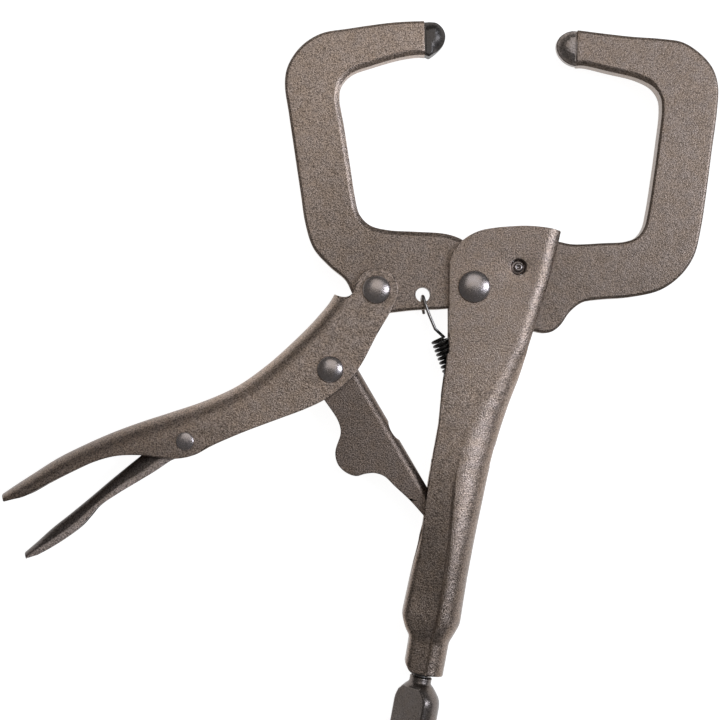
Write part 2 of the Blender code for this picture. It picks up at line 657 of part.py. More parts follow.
def make_screw(coll, cutters):
    base = (*on_axis(0.0), 0.0)
    screw = turned("adjusting_screw", [
        (0.0, SCREW_TOP), (3.3, SCREW_TOP), (THREAD_R, SCREW_TOP - 0.9), (THREAD_R, KNOB_TOP + 0.4),
        (3.1, KNOB_TOP + 0.1), (3.1, -20.0), (0.0, -20.0),
    ], base, coll, 20, "SCREW")
    nose = turned("screw_nose", [
        (0.0, 41.6), (1.6, 41.3), (2.7, 40.4), (3.1, 39.2), (3.1, SCREW_TOP + 0.3), (0.0, SCREW_TOP + 0.3),
    ], base, coll, 18, "SCREW")
    knob = turned("adjusting_knob", [
        (3.25, KNOB_TOP), (4.1, KNOB_TOP), (4.1, -3.4), (5.4, -4.4), (8.0, -7.6), (8.7, -9.6), (8.7, -27.6),
        (7.9, KNOB_END), (0.0, KNOB_END), (0.0, -20.3), (3.25, -20.3), (3.25, KNOB_TOP),
    ], base, coll, 24, "SCREW")
    bake(knob)
    up = Vector((DX, DY, 0.0))
    tilt = math.radians(46.0)
    across = Vector((-DY, DX, 0.0)) * math.sin(tilt) + Vector((0.0, 0.0, 1.0)) * math.cos(tilt)
    along = up.cross(across)
    sides = []
    for sign in (1.0, -1.0):
        mesh = bpy.data.meshes.new("knob_flat")
        bm = bmesh.new()
        bmesh.ops.create_cube(bm, size=1.0)
        bmesh.ops.scale(bm, vec=(0.008, 0.03, 0.03), verts=bm.verts)
        bm.to_mesh(mesh)
        bm.free()
        box = bpy.data.objects.new("knob_flat_a" if sign > 0 else "knob_flat_b", mesh)
        rot = Matrix((across * sign, along * sign, up)).transposed().to_4x4()
        centre = world(*on_axis(-5.2 - 15.0), 0.0) + across * sign * (0.0041 + 0.004)
        box.matrix_world = Matrix.Translation(centre) @ rot
        cutters.objects.link(box)
        cut(knob, box)
        sides.append(box)
    bake(knob)
    for box in sides:
        as_guide(box)
    tidy(knob)
    return [screw, nose, knob]


def spring_path():
    """Wire of the return spring: hook through the jaw's hole, leg, coil, hook on the tongue."""
    start = (-12.25, -18.5)
    end = on_axis(86.3, 6.5)
    ax, ay = end[0] - start[0], end[1] - start[1]
    length = math.hypot(ax, ay)
    ax, ay = ax / length, ay / length
    nx, ny = ay, -ax                      # to the right of the coil's axis
    coil_r, pitch, turns, per = 3.4, 1.8, 15, 8
    pts = [(-18.2, -9.4, -5.9), (-18.9, -6.4, -6.0), (-18.95, -3.6, -5.7), (-18.9, -3.4, -3.0),
           (-18.9, -3.4, 3.2), (-18.6, -4.2, 5.6), (-17.4, -8.0, 5.9), (-15.6, -12.4, 5.2), (-14.2, -15.6, 4.2)]
    count = int(turns * per)
    for k in range(count + 1):
        a = 2 * math.pi * k / per
        s = 1.2 + pitch * k / per
        off = coil_r * math.sin(a - 0.6)
        pts.append((start[0] + ax * s + nx * off, start[1] + ay * s + ny * off, coil_r * math.cos(a - 0.6)))
    s = 1.2 + pitch * turns
    tail = [(s + 2.2, -0.4, 1.7), (s + 4.6, -1.2, 0.4), (length - 4.6, -2.6, 0.0), (length - 1.6, -3.0, 0.0),
            (length + 1.4, -2.4, 0.0), (length + 2.6, -0.4, 0.0)]
    for along, side, z in tail:
        pts.append((start[0] + ax * along + nx * side, start[1] + ay * along + ny * side, z))
    return pts


def make_spring(coll):
    curve = bpy.data.curves.new("return_spring_wire", "CURVE")
    curve.dimensions = "3D"
    curve.bevel_depth = 0.6 * MM
    curve.bevel_resolution = 1
    curve.use_fill_caps = True
    pts = spring_path()
    spline = curve.splines.new("POLY")
    spline.points.add(len(pts) - 1)
    for p, co in zip(spline.points, pts):
        p.co = (*world(*co), 1.0)
    obj = bpy.data.objects.new("return_spring_curve", curve)
    coll.objects.link(obj)
    return mesh_from(obj, "return_spring", coll)


def main():
    clear_scene()
    parts = new_collection("locking_c_clamp")
    cutters = new_collection("cutters", shown=False)

    arm = metal("forged_arm", (0.22, 0.19, 0.17), 0.42)
    arm_b = metal("forged_arm_right", (0.27, 0.24, 0.22), 0.42)
    sheet = metal("handle_sheet", (0.16, 0.145, 0.135), 0.38)
    lever_m = metal("lever_sheet", (0.17, 0.15, 0.14), 0.38)
    link_m = metal("link_sheet", (0.18, 0.16, 0.15), 0.4)
    release_m = metal("release_sheet", (0.16, 0.145, 0.135), 0.38)
    rivet_m = metal("rivet_steel", (0.26, 0.24, 0.23), 0.3)
    screw_m = metal("screw_steel", (0.2, 0.19, 0.18), 0.35)
    knob_m = metal("knob_steel", (0.3, 0.28, 0.27), 0.32)
    wire_m = metal("spring_wire", (0.06, 0.06, 0.06), 0.3)

    moving = make_moving_jaw(parts)
    fixed = make_fixed_jaw(parts)
    handle = make_main_handle(parts, cutters)
    lever = make_lever(parts, cutters)
    link = make_link(parts, cutters)
    release = make_release(parts, cutters)
    rivets = make_rivets(parts)
    dowel = make_dowel(parts)
    screw, nose, knob = make_screw(parts, cutters)
    spring = make_spring(parts)

    set_origin(moving, (*PIVOT, 0.0))
    set_origin(lever, (*LEVER_PIN, 0.0))
    set_origin(link, (*LINK_PIN, 0.0))
    set_origin(release, (*RELEASE_PIN, 0.0))
    set_origin(fixed, (*DOWEL, 0.0))
    set_origin(handle, (*SCREW_BASE, 0.0))

    paint(moving, arm)
    paint(fixed, arm_b)
    paint(handle, sheet)
    paint(lever, lever_m)
    paint(link, link_m)
    paint(release, release_m)
    for rivet in rivets:
        paint(rivet, rivet_m)
    paint(dowel, rivet_m)
    paint(screw, screw_m)
    paint(nose, screw_m)
    paint(knob, knob_m)
    paint(spring, wire_m)


main()
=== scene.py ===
"""The looks of the locking C clamp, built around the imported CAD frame."""

import math

import bmesh
import bpy
import numpy as np
from mathutils import Matrix, Vector
from mathutils.bvhtree import BVHTree
from mathutils.geometry import delaunay_2d_cdt

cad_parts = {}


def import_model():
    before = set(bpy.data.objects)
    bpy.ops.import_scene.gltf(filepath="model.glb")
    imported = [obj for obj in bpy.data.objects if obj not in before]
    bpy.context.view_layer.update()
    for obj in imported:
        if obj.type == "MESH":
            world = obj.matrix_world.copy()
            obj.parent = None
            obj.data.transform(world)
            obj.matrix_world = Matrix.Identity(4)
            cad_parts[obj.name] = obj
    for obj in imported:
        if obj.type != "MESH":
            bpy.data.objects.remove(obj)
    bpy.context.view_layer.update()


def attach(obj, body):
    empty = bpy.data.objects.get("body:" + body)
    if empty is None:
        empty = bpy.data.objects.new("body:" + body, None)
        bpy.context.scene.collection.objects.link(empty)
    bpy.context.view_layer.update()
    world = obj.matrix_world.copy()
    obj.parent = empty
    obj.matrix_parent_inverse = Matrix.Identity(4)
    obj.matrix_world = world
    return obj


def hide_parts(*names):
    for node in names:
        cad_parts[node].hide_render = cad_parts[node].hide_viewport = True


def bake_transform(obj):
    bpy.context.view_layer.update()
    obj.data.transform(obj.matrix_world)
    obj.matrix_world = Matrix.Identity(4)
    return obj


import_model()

MM = 0.001

# the same driving dimensions as the CAD, in millimetres from the main pivot
JAW_HALF = 4.5
CHEEK_OUT = 7.0
SHEET = 2.2
LEVER_OUT = 6.8
LEVER_SHEET = 2.0
LINK_OUT = 4.35
LINK_SHEET = 1.8
RELEASE_SHEET = 1.6
TUBE_HALF = 9.3
RUN = 0.16
GAP = 0.15
PIVOT = (0.0, 0.0)
LEVER_PIN = (-36.1, -1.0)
LINK_PIN = (-53.2, -30.5)
RELEASE_PIN = (-106.8, -57.0)
DOWEL = (16.4, 7.3)
SPRING_HOLE = (-18.9, -2.8)
SPRING_HOLE_R = 2.75
SCREW_BASE = (-19.3, -144.0)
SCREW_DIR = (0.183, 0.983)
LINK_SEAT_H = 50.14
THREAD_R = 4.0
PLAN_X = (-175.4, 90.6)
PLAN_Y = (-174.5, 98.75)
OX, OY, OZ = 0.5 * sum(PLAN_X), 0.5 * sum(PLAN_Y), -TUBE_HALF
_dl = math.hypot(*SCREW_DIR)
DX, DY = SCREW_DIR[0] / _dl, SCREW_DIR[1] / _dl


def world(x, y, z):
    return Vector(((x - OX) * MM, (y - OY) * MM, (z - OZ) * MM))


def on_axis(h, v=0.0):
    return (SCREW_BASE[0] + h * DX + v * DY, SCREW_BASE[1] + h * DY - v * DX)


LINK_SEAT = on_axis(LINK_SEAT_H)


# ---- curves ------------------------------------------------------------------
def catmull(points, closed, steps):
    """Centripetal curve through points of any dimension."""
    pts = [np.array(p, float) for p in points]
    count = len(pts)
    out = []
    for i in range(count if closed else count - 1):
        p1, p2 = pts[i], pts[(i + 1) % count]
        p0 = pts[i - 1] if (closed or i > 0) else 2 * p1 - p2
        p3 = pts[(i + 2) % count] if (closed or i + 2 < count) else 2 * p2 - p1
        t = [0.0]
        for a, b in ((p0, p1), (p1, p2), (p2, p3)):
            t.append(t[-1] + max(np.linalg.norm(b - a), 1e-6) ** 0.5)
        for k in range(steps):
            s = t[1] + (t[2] - t[1]) * k / steps
            a1 = (t[1] - s) / (t[1] - t[0]) * p0 + (s - t[0]) / (t[1] - t[0]) * p1
            a2 = (t[2] - s) / (t[2] - t[1]) * p1 + (s - t[1]) / (t[2] - t[1]) * p2
            a3 = (t[3] - s) / (t[3] - t[2]) * p2 + (s - t[2]) / (t[3] - t[2]) * p3
            b1 = (t[2] - s) / (t[2] - t[0]) * a1 + (s - t[0]) / (t[2] - t[0]) * a2
            b2 = (t[3] - s) / (t[3] - t[1]) * a2 + (s - t[1]) / (t[3] - t[1]) * a3
            out.append(tuple((t[2] - s) / (t[2] - t[1]) * b1 + (s - t[1]) / (t[2] - t[1]) * b2))
    if not closed:
        out.append(tuple(pts[-1]))
    return out


def arc(cx, cy, r, a0, a1, n):
    return [
        (cx + r * math.cos(math.radians(a0 + (a1 - a0) * i / n)),
         cy + r * math.sin(math.radians(a0 + (a1 - a0) * i / n)))
        for i in range(n + 1)
    ]


def circle(cx, cy, r, n):
    return arc(cx, cy, r, 0.0, 360.0 - 360.0 / n, n - 1)


def easy(table, column, at):
    """Monotone cubic through a table's column, read at its first column."""
    x = [row[0] for row in table]
    y = [row[column] for row in table]
    if at <= x[0]:
        return y[0]
    if at >= x[-1]:
        return y[-1]
    d = [(y[i + 1] - y[i]) / (x[i + 1] - x[i]) for i in range(len(x) - 1)]
    m = [d[0]] + [0.0 if a * b <= 0 else 2 * a * b / (a + b) for a, b in zip(d, d[1:])] + [d[-1]]
    i = max(k for k in range(len(x) - 1) if x[k] <= at)
    w = x[i + 1] - x[i]
    s = (at - x[i]) / w
    return (
        (2 * s**3 - 3 * s**2 + 1) * y[i]
        + (s**3 - 2 * s**2 + s) * w * m[i]
        + (-2 * s**3 + 3 * s**2) * y[i + 1]
        + (s**3 - s**2) * w * m[i + 1]
    )


def resample(points, step, closed=True):
    """Even spacing along a polyline, keeping its true corners' neighbourhood."""
    pts = np.array(points, float)
    if closed:
        pts = np.vstack([pts, pts[:1]])
    seg = np.linalg.norm(np.diff(pts, axis=0), axis=1)
    run = np.concatenate([[0.0], np.cumsum(seg)])
    count = max(8, int(round(run[-1] / step)))
    at = np.linspace(0.0, run[-1], count, endpoint=not closed)
    return np.stack([np.interp(at, run, pts[:, k]) for k in range(pts.shape[1])], axis=1)


# ---- meshes ------------------------------------------------------------------
SCENE = bpy.context.scene


def add(name, mesh):
    obj = bpy.data.objects.new(name, mesh)
    SCENE.collection.objects.link(obj)
    return obj


def prism(name, outline, z0, z1):
    """A closed plain prism, used as a cutter."""
    bm = bmesh.new()
    low = [bm.verts.new(world(x, y, z0)) for x, y in outline]
    top = [bm.verts.new(world(x, y, z1)) for x, y in outline]
    n = len(outline)
    area = sum(outline[i][0] * outline[(i + 1) % n][1] - outline[(i + 1) % n][0] * outline[i][1] for i in range(n))
    if area < 0:
        low.reverse()
        top.reverse()
    bm.faces.new(top)
    bm.faces.new(low[::-1])
    for i in range(n):
        j = (i + 1) % n
        bm.faces.new((low[i], low[j], top[j], top[i]))
    mesh = bpy.data.meshes.new(name)
    bm.to_mesh(mesh)
    bm.free()
    return add(name, mesh)


def apply_all(obj):
    bpy.context.view_layer.update()
    graph = bpy.context.evaluated_depsgraph_get()
    mesh = bpy.data.meshes.new_from_object(obj.evaluated_get(graph))
    obj.modifiers.clear()
    old = obj.data
    obj.data = mesh
    bpy.data.meshes.remove(old)
    return obj


def volume(mesh):
    bm = bmesh.new()
    bm.from_mesh(mesh)
    found = bm.calc_volume(signed=True) * 1e9
    bm.free()
    return found


def boolean(obj, cutter, operation):
    """One exact cut. A cut that loses most of the piece is made again, allowing for self-contact."""
    keep = obj.data.copy()
    before = volume(obj.data)
    for careful in (operation == "INTERSECT", True):
        mod = obj.modifiers.new(operation.lower(), "BOOLEAN")
        mod.operation = operation
        mod.solver = "EXACT"
        mod.use_self = careful
        mod.object = cutter
        apply_all(obj)
        if volume(obj.data) > 0.25 * before:
            break
        obj.data = keep.copy()
    bpy.data.meshes.remove(keep)


def carve(obj, steps):
    """Runs (operation, cutter) pairs, then removes the cutters."""
    for operation, cutter in steps:
        boolean(obj, cutter, operation)
        data = cutter.data
        bpy.data.objects.remove(cutter, do_unlink=True)
        bpy.data.meshes.remove(data)
    bm = bmesh.new()
    bm.from_mesh(obj.data)
    bmesh.ops.remove_doubles(bm, verts=bm.verts, dist=0.00002)
    bmesh.ops.dissolve_degenerate(bm, edges=bm.edges, dist=1e-6)
    bm.to_mesh(obj.data)
    bm.free()
    return obj


def soften(obj, width, angle=50.0, segments=2, sharp=38.0):
    """Rolled edges on the cut rims, then weighted normals."""
    if width > 0:
        bm = bmesh.new()
        bm.from_mesh(obj.data)
        tree = BVHTree.FromBMesh(bm)
        bm.free()
        bev = obj.modifiers.new("edge", "BEVEL")
        bev.width = width * MM
        bev.segments = segments
        bev.limit_method = "ANGLE"
        bev.angle_limit = math.radians(angle)
        bev.use_clamp_overlap = False
        bev.loop_slide = True
        apply_all(obj)
        # a bevel may leave a spike at a very acute corner: such points go back to the surface
        for v in obj.data.vertices:
            place, _, _, far = tree.find_nearest(v.co)
            if far is not None and far > 0.6 * width * MM:
                v.co = place
    obj.data.shade_smooth()
    obj.data.set_sharp_from_angle(angle=math.radians(sharp))
    wn = obj.modifiers.new("normals", "WEIGHTED_NORMAL")
    wn.keep_sharp = True
    wn.weight = 60
    return obj


def offset_ring(pts, inset):
    """Plan points moved inwards by a distance of their own."""
    prev, nxt = np.roll(pts, 1, axis=0), np.roll(pts, -1, axis=0)
    t = nxt - prev
    t /= np.maximum(np.linalg.norm(t, axis=1, keepdims=True), 1e-9)
    normal = np.stack([-t[:, 1], t[:, 0]], axis=1)
    area = 0.5 * np.sum(pts[:, 0] * nxt[:, 1] - nxt[:, 0] * pts[:, 1])
    if area < 0:
        normal = -normal
    return pts + normal * inset[:, None]


def fitting_reach(pts, reach):
    """The wished inset of each point, cut back where it would cross the inset of another side."""
    low, high = np.zeros(len(pts)), reach.copy()
    for _ in range(14):
        mid = 0.5 * (low + high)
        moved = offset_ring(pts, mid)
        gap = np.sqrt(((moved[:, None, :] - pts[None, :, :]) ** 2).sum(2)).min(1)
        good = gap >= mid * 0.965 - 1e-4
        low = np.where(good, mid, low)
        high = np.where(good, high, mid)
    return low


def crossings(ring):
    """Which points of a closed ring start a side that crosses another side."""
    a, b = ring, np.roll(ring, -1, axis=0)
    d = b - a

    def side_of(p):
        return d[:, None, 0] * (p[None, :, 1] - a[:, None, 1]) - d[:, None, 1] * (p[None, :, 0] - a[:, None, 0])

    sa, sb = side_of(a), side_of(b)
    split = (sa * sb) < 0
    both = split & split.T
    return np.where(both.any(1))[0]


def fill_flat(bm, ring):
    """Triangles over a flat ring of points."""
    flat = [Vector((v.co.x / MM, v.co.y / MM)) for v in ring]
    n = len(ring)
    area = sum(flat[i].x * flat[(i + 1) % n].y - flat[(i + 1) % n].x * flat[i].y for i in range(n))
    order = list(range(n)) if area > 0 else list(range(n))[::-1]
    out, _, faces, source, _, _ = delaunay_2d_cdt(flat, [], [order], 1, 1e-5)
    z = ring[0].co.z
    verts = [ring[source[k][0]] if source[k] else bm.verts.new((p.x * MM, p.y * MM, z)) for k, p in enumerate(out)]
    for face in faces:
        corners = [verts[k] for k in face]
        if len(set(corners)) == len(corners) and bm.faces.get(corners) is None:
            bm.faces.new(corners)


def rounded_plate(name, outline, half, reach, drop, step=0.7, rings=7, power=1.6):
    """A forged plate whose faces fall away to a soft edge.

    reach(x, y) and drop(x, y) give how far the fall goes inwards and down.
    """
    pts = resample(outline, step)
    n = len(pts)
    rr = np.array([reach(x, y) for x, y in pts])
    dd = np.array([drop(x, y) for x, y in pts])
    kernel = np.array([1, 2, 3, 4, 3, 2, 1], float)
    kernel /= kernel.sum()
    for arr in (rr, dd):
        wide = np.concatenate([arr[-3:], arr, arr[:3]])
        arr[:] = np.convolve(wide, kernel, "valid")
    fit = fitting_reach(pts, rr)
    wide = np.concatenate([fit[-4:], fit, fit[:4]])
    least = np.min([wide[k:k + n] for k in range(9)], axis=0)
    wide = np.concatenate([least[-3:], least, least[:3]])
    fit = np.convolve(wide, kernel, "valid")
    for _ in range(40):
        bad = crossings(offset_ring(pts, fit))
        if len(bad) == 0:
            break
        for k in range(-5, 6):
            fit[(bad + k) % n] *= 0.93
        wide = np.concatenate([fit[-1:], fit, fit[:1]])
        fit = np.minimum(fit, np.convolve(wide, np.ones(3) / 3, "valid"))
    dd = dd * np.clip(fit / np.maximum(rr, 1e-6), 0.12, 1.0)
    rr = fit
    bm = bmesh.new()
    upper = []
    soft = np.minimum(0.22, 0.3 * rr)
    for k in range(rings + 3):
        if k < 2:
            # the side's last bit turns into the face with a small round
            inset = soft * (0.0, 0.28)[k]
            z = half - dd * (1 - soft / rr) ** power - soft * (1.25, 0.4)[k]
        else:
            t = soft / rr + (1 - soft / rr) * (k - 2) / rings
            inset = rr * t
            z = half - dd * np.maximum(1 - t, 0.0) ** power
        ring = offset_ring(pts, inset)
        upper.append([(x, y, zz) for (x, y), zz in zip(ring, z)])
    rows = [[bm.verts.new(world(x, y, z)) for x, y, z in ring] for ring in upper]
    low = [[bm.verts.new(world(x, y, -z)) for x, y, z in ring] for ring in upper]
    chain = low[::-1] + rows
    for a, b in zip(chain, chain[1:]):
        for i in range(n):
            j = (i + 1) % n
            bm.faces.new((a[i], a[j], b[j], b[i]))
    fill_flat(bm, rows[-1])
    fill_flat(bm, low[-1])
    bmesh.ops.remove_doubles(bm, verts=bm.verts, dist=2e-6)
    bmesh.ops.recalc_face_normals(bm, faces=bm.faces)
    mesh = bpy.data.meshes.new(name)
    bm.to_mesh(mesh)
    bm.free()
    return add(name, mesh)


def inset_half(half, thickness):
    """The inner side of half a folded section. Points are (distance from the fold, height)."""
    pts = np.array(half, float)
    ahead = np.vstack([pts[1:], pts[-1:]])
    behind = np.vstack([pts[:1] * np.array([[1.0, -1.0]]) + np.array([[0.0, 0.0]]), pts[:-1]])
    behind[0] = (pts[1][0], -pts[1][1])
    d = ahead - behind
    d /= np.maximum(np.linalg.norm(d, axis=1, keepdims=True), 1e-9)
    inner = pts + thickness * np.stack([d[:, 1], -d[:, 0]], axis=1)
    inner[:, 1] = np.where(pts[:, 1] > 1e-6, np.maximum(inner[:, 1], 0.01 + 0.02 * np.arange(len(pts))), 0.0)
    return inner


def sheet_loft(name, outer, inner):
    """A closed sheet between an outer and an inner grid of plan points."""
    bm = bmesh.new()
    go = [[bm.verts.new(world(*p)) for p in row] for row in outer]
    gi = [[bm.verts.new(world(*p)) for p in row] for row in inner]
    m, n = len(go), len(go[0])
    for i in range(m - 1):
        for j in range(n - 1):
            bm.faces.new((go[i][j], go[i][j + 1], go[i + 1][j + 1], go[i + 1][j]))
            bm.faces.new((gi[i][j], gi[i + 1][j], gi[i + 1][j + 1], gi[i][j + 1]))
        for j, k in ((0, 0), (n - 1, n - 1)):
            quad = (go[i][j], go[i + 1][j], gi[i + 1][k], gi[i][k])
            bm.faces.new(quad if j == 0 else quad[::-1])
    for i in (0, m - 1):
        for j in range(n - 1):
            quad = (go[i][j], gi[i][j], gi[i][j + 1], go[i][j + 1])
            bm.faces.new(quad if i == 0 else quad[::-1])
    bmesh.ops.recalc_face_normals(bm, faces=bm.faces)
    if bm.calc_volume(signed=True) < 0:
        bmesh.ops.reverse_faces(bm, faces=bm.faces)
    mesh = bpy.data.meshes.new(name)
    bm.to_mesh(mesh)
    bm.free()
    return add(name, mesh)


def mirror_row(half_row):
    """Half a section, from the fold's middle outwards, made whole."""
    upper = half_row[::-1]
    return [tuple(p) for p in upper] + [(x, y, -z) for x, y, z in half_row[1:]]


def lathe(name, profile, centre, axis="Z", steps=48):
    """A turned closed solid from (radius, height) pairs, top to bottom."""
    if axis == "SCREW":
        up = Vector((DX, DY, 0.0))
        side = Vector((0.0, 0.0, 1.0))
    else:
        up = Vector((0.0, 0.0, 1.0))
        side = Vector((1.0, 0.0, 0.0))
    other = up.cross(side)
    base = world(*centre)
    bm = bmesh.new()
    rows = []
    for r, h in profile:
        if r < 1e-6:
            rows.append([bm.verts.new(base + up * (h * MM))])
        else:
            rows.append([
                bm.verts.new(base + up * (h * MM)
                             + (side * math.cos(2 * math.pi * k / steps) + other * math.sin(2 * math.pi * k / steps)) * (r * MM))
                for k in range(steps)
            ])
    for a, b in zip(rows, rows[1:]):
        for k in range(steps if max(len(a), len(b)) > 1 else 0):
            j = (k + 1) % steps
            if len(a) == 1:
                bm.faces.new((a[0], b[k], b[j]))
            elif len(b) == 1:
                bm.faces.new((a[k], b[0], a[j]))
            else:
                bm.faces.new((a[k], b[k], b[j], a[j]))
    bmesh.ops.recalc_face_normals(bm, faces=bm.faces)
    mesh = bpy.data.meshes.new(name)
    bm.to_mesh(mesh)
    bm.free()
    return add(name, mesh)


def tube(name, path, radius, sides=10):
    """Wire of round section along a path of plan points, with rounded ends."""
    pts = [world(*p) for p in path]
    bm = bmesh.new()
    rings = []
    tangent = (pts[1] - pts[0]).normalized()
    normal = tangent.orthogonal().normalized()
    for i, p in enumerate(pts):
        t = (pts[min(i + 1, len(pts) - 1)] - pts[max(i - 1, 0)]).normalized()
        turn = tangent.rotation_difference(t)
        normal = (turn @ normal).normalized()
        normal = (normal - t * normal.dot(t)).normalized()
        tangent = t
        side = t.cross(normal)
        rings.append([
            bm.verts.new(p + (normal * math.cos(2 * math.pi * k / sides) + side * math.sin(2 * math.pi * k / sides)) * radius * MM)
            for k in range(sides)
        ])
    for a, b in zip(rings, rings[1:]):
        for k in range(sides):
            j = (k + 1) % sides
            bm.faces.new((a[k], a[j], b[j], b[k]))
    for ring, p, t in ((rings[0], pts[0], (pts[0] - pts[1]).normalized()),
                       (rings[-1], pts[-1], (pts[-1] - pts[-2]).normalized())):
        tip = bm.verts.new(p + t * radius * MM * 0.6)
        for k in range(sides):
            bm.faces.new((ring[k], ring[(k + 1) % sides], tip))
    bmesh.ops.recalc_face_normals(bm, faces=bm.faces)
    mesh = bpy.data.meshes.new(name)
    bm.to_mesh(mesh)
    bm.free()
    return add(name, mesh)


# ---- materials ---------------------------------------------------------------
def steel(name, tone, rough=0.42, metallic=0.9, grain=1.0, mottle=1.0, bump=1.0, painted_shade_and_tone_ramps=None, grain_scale=1900.0, painted_fold_shade=None):
    """Blasted steel: fine sparkle, soft mottling, and a bump of the same grain.

    Each ramp in the list of (axis point, direction, length, tone) darkens part of a piece: painted shade where the
    light falls off across the arms, handle and lever, and the spring's coil darker than its lead.
    """
    mat = bpy.data.materials.new(name)
    mat.use_nodes = True
    nt = mat.node_tree
    n, l = nt.nodes, nt.links
    shader = n["Principled BSDF"]
    shader.inputs["Metallic"].default_value = metallic
    coord = n.new("ShaderNodeTexCoord")

    def noise(scale, detail, roughness=0.55):
        node = n.new("ShaderNodeTexNoise")
        node.inputs["Scale"].default_value = scale
        node.inputs["Detail"].default_value = detail
        node.inputs["Roughness"].default_value = roughness
        l.new(coord.outputs["Object"], node.inputs["Vector"])
        return node.outputs["Fac"]

    def remap(src, a, b, lo, hi):
        node = n.new("ShaderNodeMapRange")
        node.inputs["From Min"].default_value = a
        node.inputs["From Max"].default_value = b
        node.inputs["To Min"].default_value = lo
        node.inputs["To Max"].default_value = hi
        l.new(src, node.inputs["Value"])
        return node.outputs["Result"]

    def math_node(op, a, b):
        node = n.new("ShaderNodeMath")
        node.operation = op
        for k, x in enumerate((a, b)):
            if isinstance(x, (int, float)):
                node.inputs[k].default_value = x
            else:
                l.new(x, node.inputs[k])
        return node.outputs[0]

    fine = noise(grain_scale, 2.0, 0.65)
    mid = noise(260.0, 3.0)
    broad = noise(42.0, 3.0)
    value = math_node("MULTIPLY", remap(fine, 0.34, 0.66, 1 - 0.62 * grain, 1 + 0.62 * grain),
                      remap(mid, 0.3, 0.7, 1 - 0.035 * mottle, 1 + 0.035 * mottle))
    value = math_node("MULTIPLY", value, remap(broad, 0.3, 0.7, 1 - 0.09 * mottle, 1 + 0.09 * mottle))
    # painted shade on the arms, handle and lever where the light falls off; on the spring wire the coil is made darker
    # than its lead
    for origin, direction, length, dark in painted_shade_and_tone_ramps or []:
        sub = n.new("ShaderNodeVectorMath")
        sub.operation = "SUBTRACT"
        l.new(coord.outputs["Object"], sub.inputs[0])
        sub.inputs[1].default_value = world(*origin)
        dot = n.new("ShaderNodeVectorMath")
        dot.operation = "DOT_PRODUCT"
        l.new(sub.outputs[0], dot.inputs[0])
        dot.inputs[1].default_value = Vector(direction).normalized()
        ramp = remap(dot.outputs["Value"], 0.0, length * MM, 1.0, dark)
        value = math_node("MULTIPLY", value, ramp)
    if painted_fold_shade:
        # painted shade: the rolled back keeps the dark base tone and the flat cheek above it is lifted lighter, for how
        # the light falls on each
        z0, z1, gain = painted_fold_shade
        parts = n.new("ShaderNodeSeparateXYZ")
        l.new(coord.outputs["Object"], parts.inputs[0])
        height = math_node("ABSOLUTE", math_node("SUBTRACT", parts.outputs["Z"], -OZ * MM), 0.0)
        value = math_node("MULTIPLY", value, remap(height, z0 * MM, z1 * MM, 1.0, gain))
    tint = n.new("ShaderNodeVectorMath")
    tint.operation = "SCALE"
    warm = n.new("ShaderNodeMix")
    warm.data_type = "RGBA"
    l.new(remap(mid, 0.35, 0.65, 0.0, 1.0), warm.inputs["Factor"])
    warm.inputs["A"].default_value = (tone[0] * 1.02, tone[1], tone[2] * 0.97, 1.0)
    warm.inputs["B"].default_value = (tone[0] * 0.98, tone[1], tone[2] * 1.035, 1.0)
    l.new(warm.outputs["Result"], tint.inputs[0])
    l.new(value, tint.inputs["Scale"])
    l.new(tint.outputs[0], shader.inputs["Base Color"])
    l.new(math_node("ADD", remap(fine, 0.3, 0.7, rough - 0.05, rough + 0.06), remap(broad, 0.3, 0.7, -0.04, 0.04)),
          shader.inputs["Roughness"])
    if bump > 0:
        b1 = n.new("ShaderNodeBump")
        b1.inputs["Strength"].default_value = 0.62 * bump
        b1.inputs["Distance"].default_value = 0.00022
        l.new(fine, b1.inputs["Height"])
        b2 = n.new("ShaderNodeBump")
        b2.inputs["Strength"].default_value = 0.12 * bump
        b2.inputs["Distance"].default_value = 0.0010
        l.new(mid, b2.inputs["Height"])
        l.new(b2.outputs["Normal"], b1.inputs["Normal"])
        l.new(b1.outputs["Normal"], shader.inputs["Normal"])
    return mat


def dress(obj, mat, body, nodes):
    obj.data.materials.clear()
    obj.data.materials.append(mat)
    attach(obj, body)
    if nodes:
        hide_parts(*nodes)
    return obj


# ---- outlines ----------------------------------------------------------------
def moving_arm_outline(q=6):
    back = catmull([
        (-16.5, 98.75), (-29.3, 98.2), (-46.3, 95.9), (-56.8, 94.0), (-64.2, 89.2), (-69.0, 82.0),
        (-70.1, 75.4), (-68.6, 64.3), (-66.7, 51.4), (-64.2, 34.6), (-62.6, 24.0), (-59.6, 14.6),
        (-53.4, 7.6), (-47.6, 2.6), (-45.2, -2.2),
    ], False, q)
    eye = arc(*LEVER_PIN, 9.1, 188.0, 262.0, 4 * q)
    under = catmull([(-31.2, -9.5), (-22.0, -8.5), (-13.0, -8.2), (-7.0, -7.7)], False, q)
    hub = arc(0.0, 0.0, 8.9, -112.0, 55.0, 8 * q)
    inner = catmull([
        (-1.0, 15.2), (-5.0, 18.0), (-10.6, 19.8), (-21.9, 20.6), (-32.0, 21.2), (-38.6, 23.0),
        (-42.4, 27.0), (-44.0, 33.0), (-46.0, 46.0), (-48.2, 60.0), (-49.9, 70.3), (-49.2, 75.0),
        (-45.4, 79.3), (-37.9, 82.1), (-27.0, 85.2), (-20.8, 86.1), (-18.2, 86.0), (-16.6, 85.5), (-15.4, 86.2),
        (-13.4, 87.6), (-11.4, 89.8), (-10.4, 92.3), (-10.6, 94.9), (-11.9, 97.0), (-13.9, 98.4), (-16.5, 98.75),
    ], False, q)
    return back + eye + under + hub + inner[:-1]


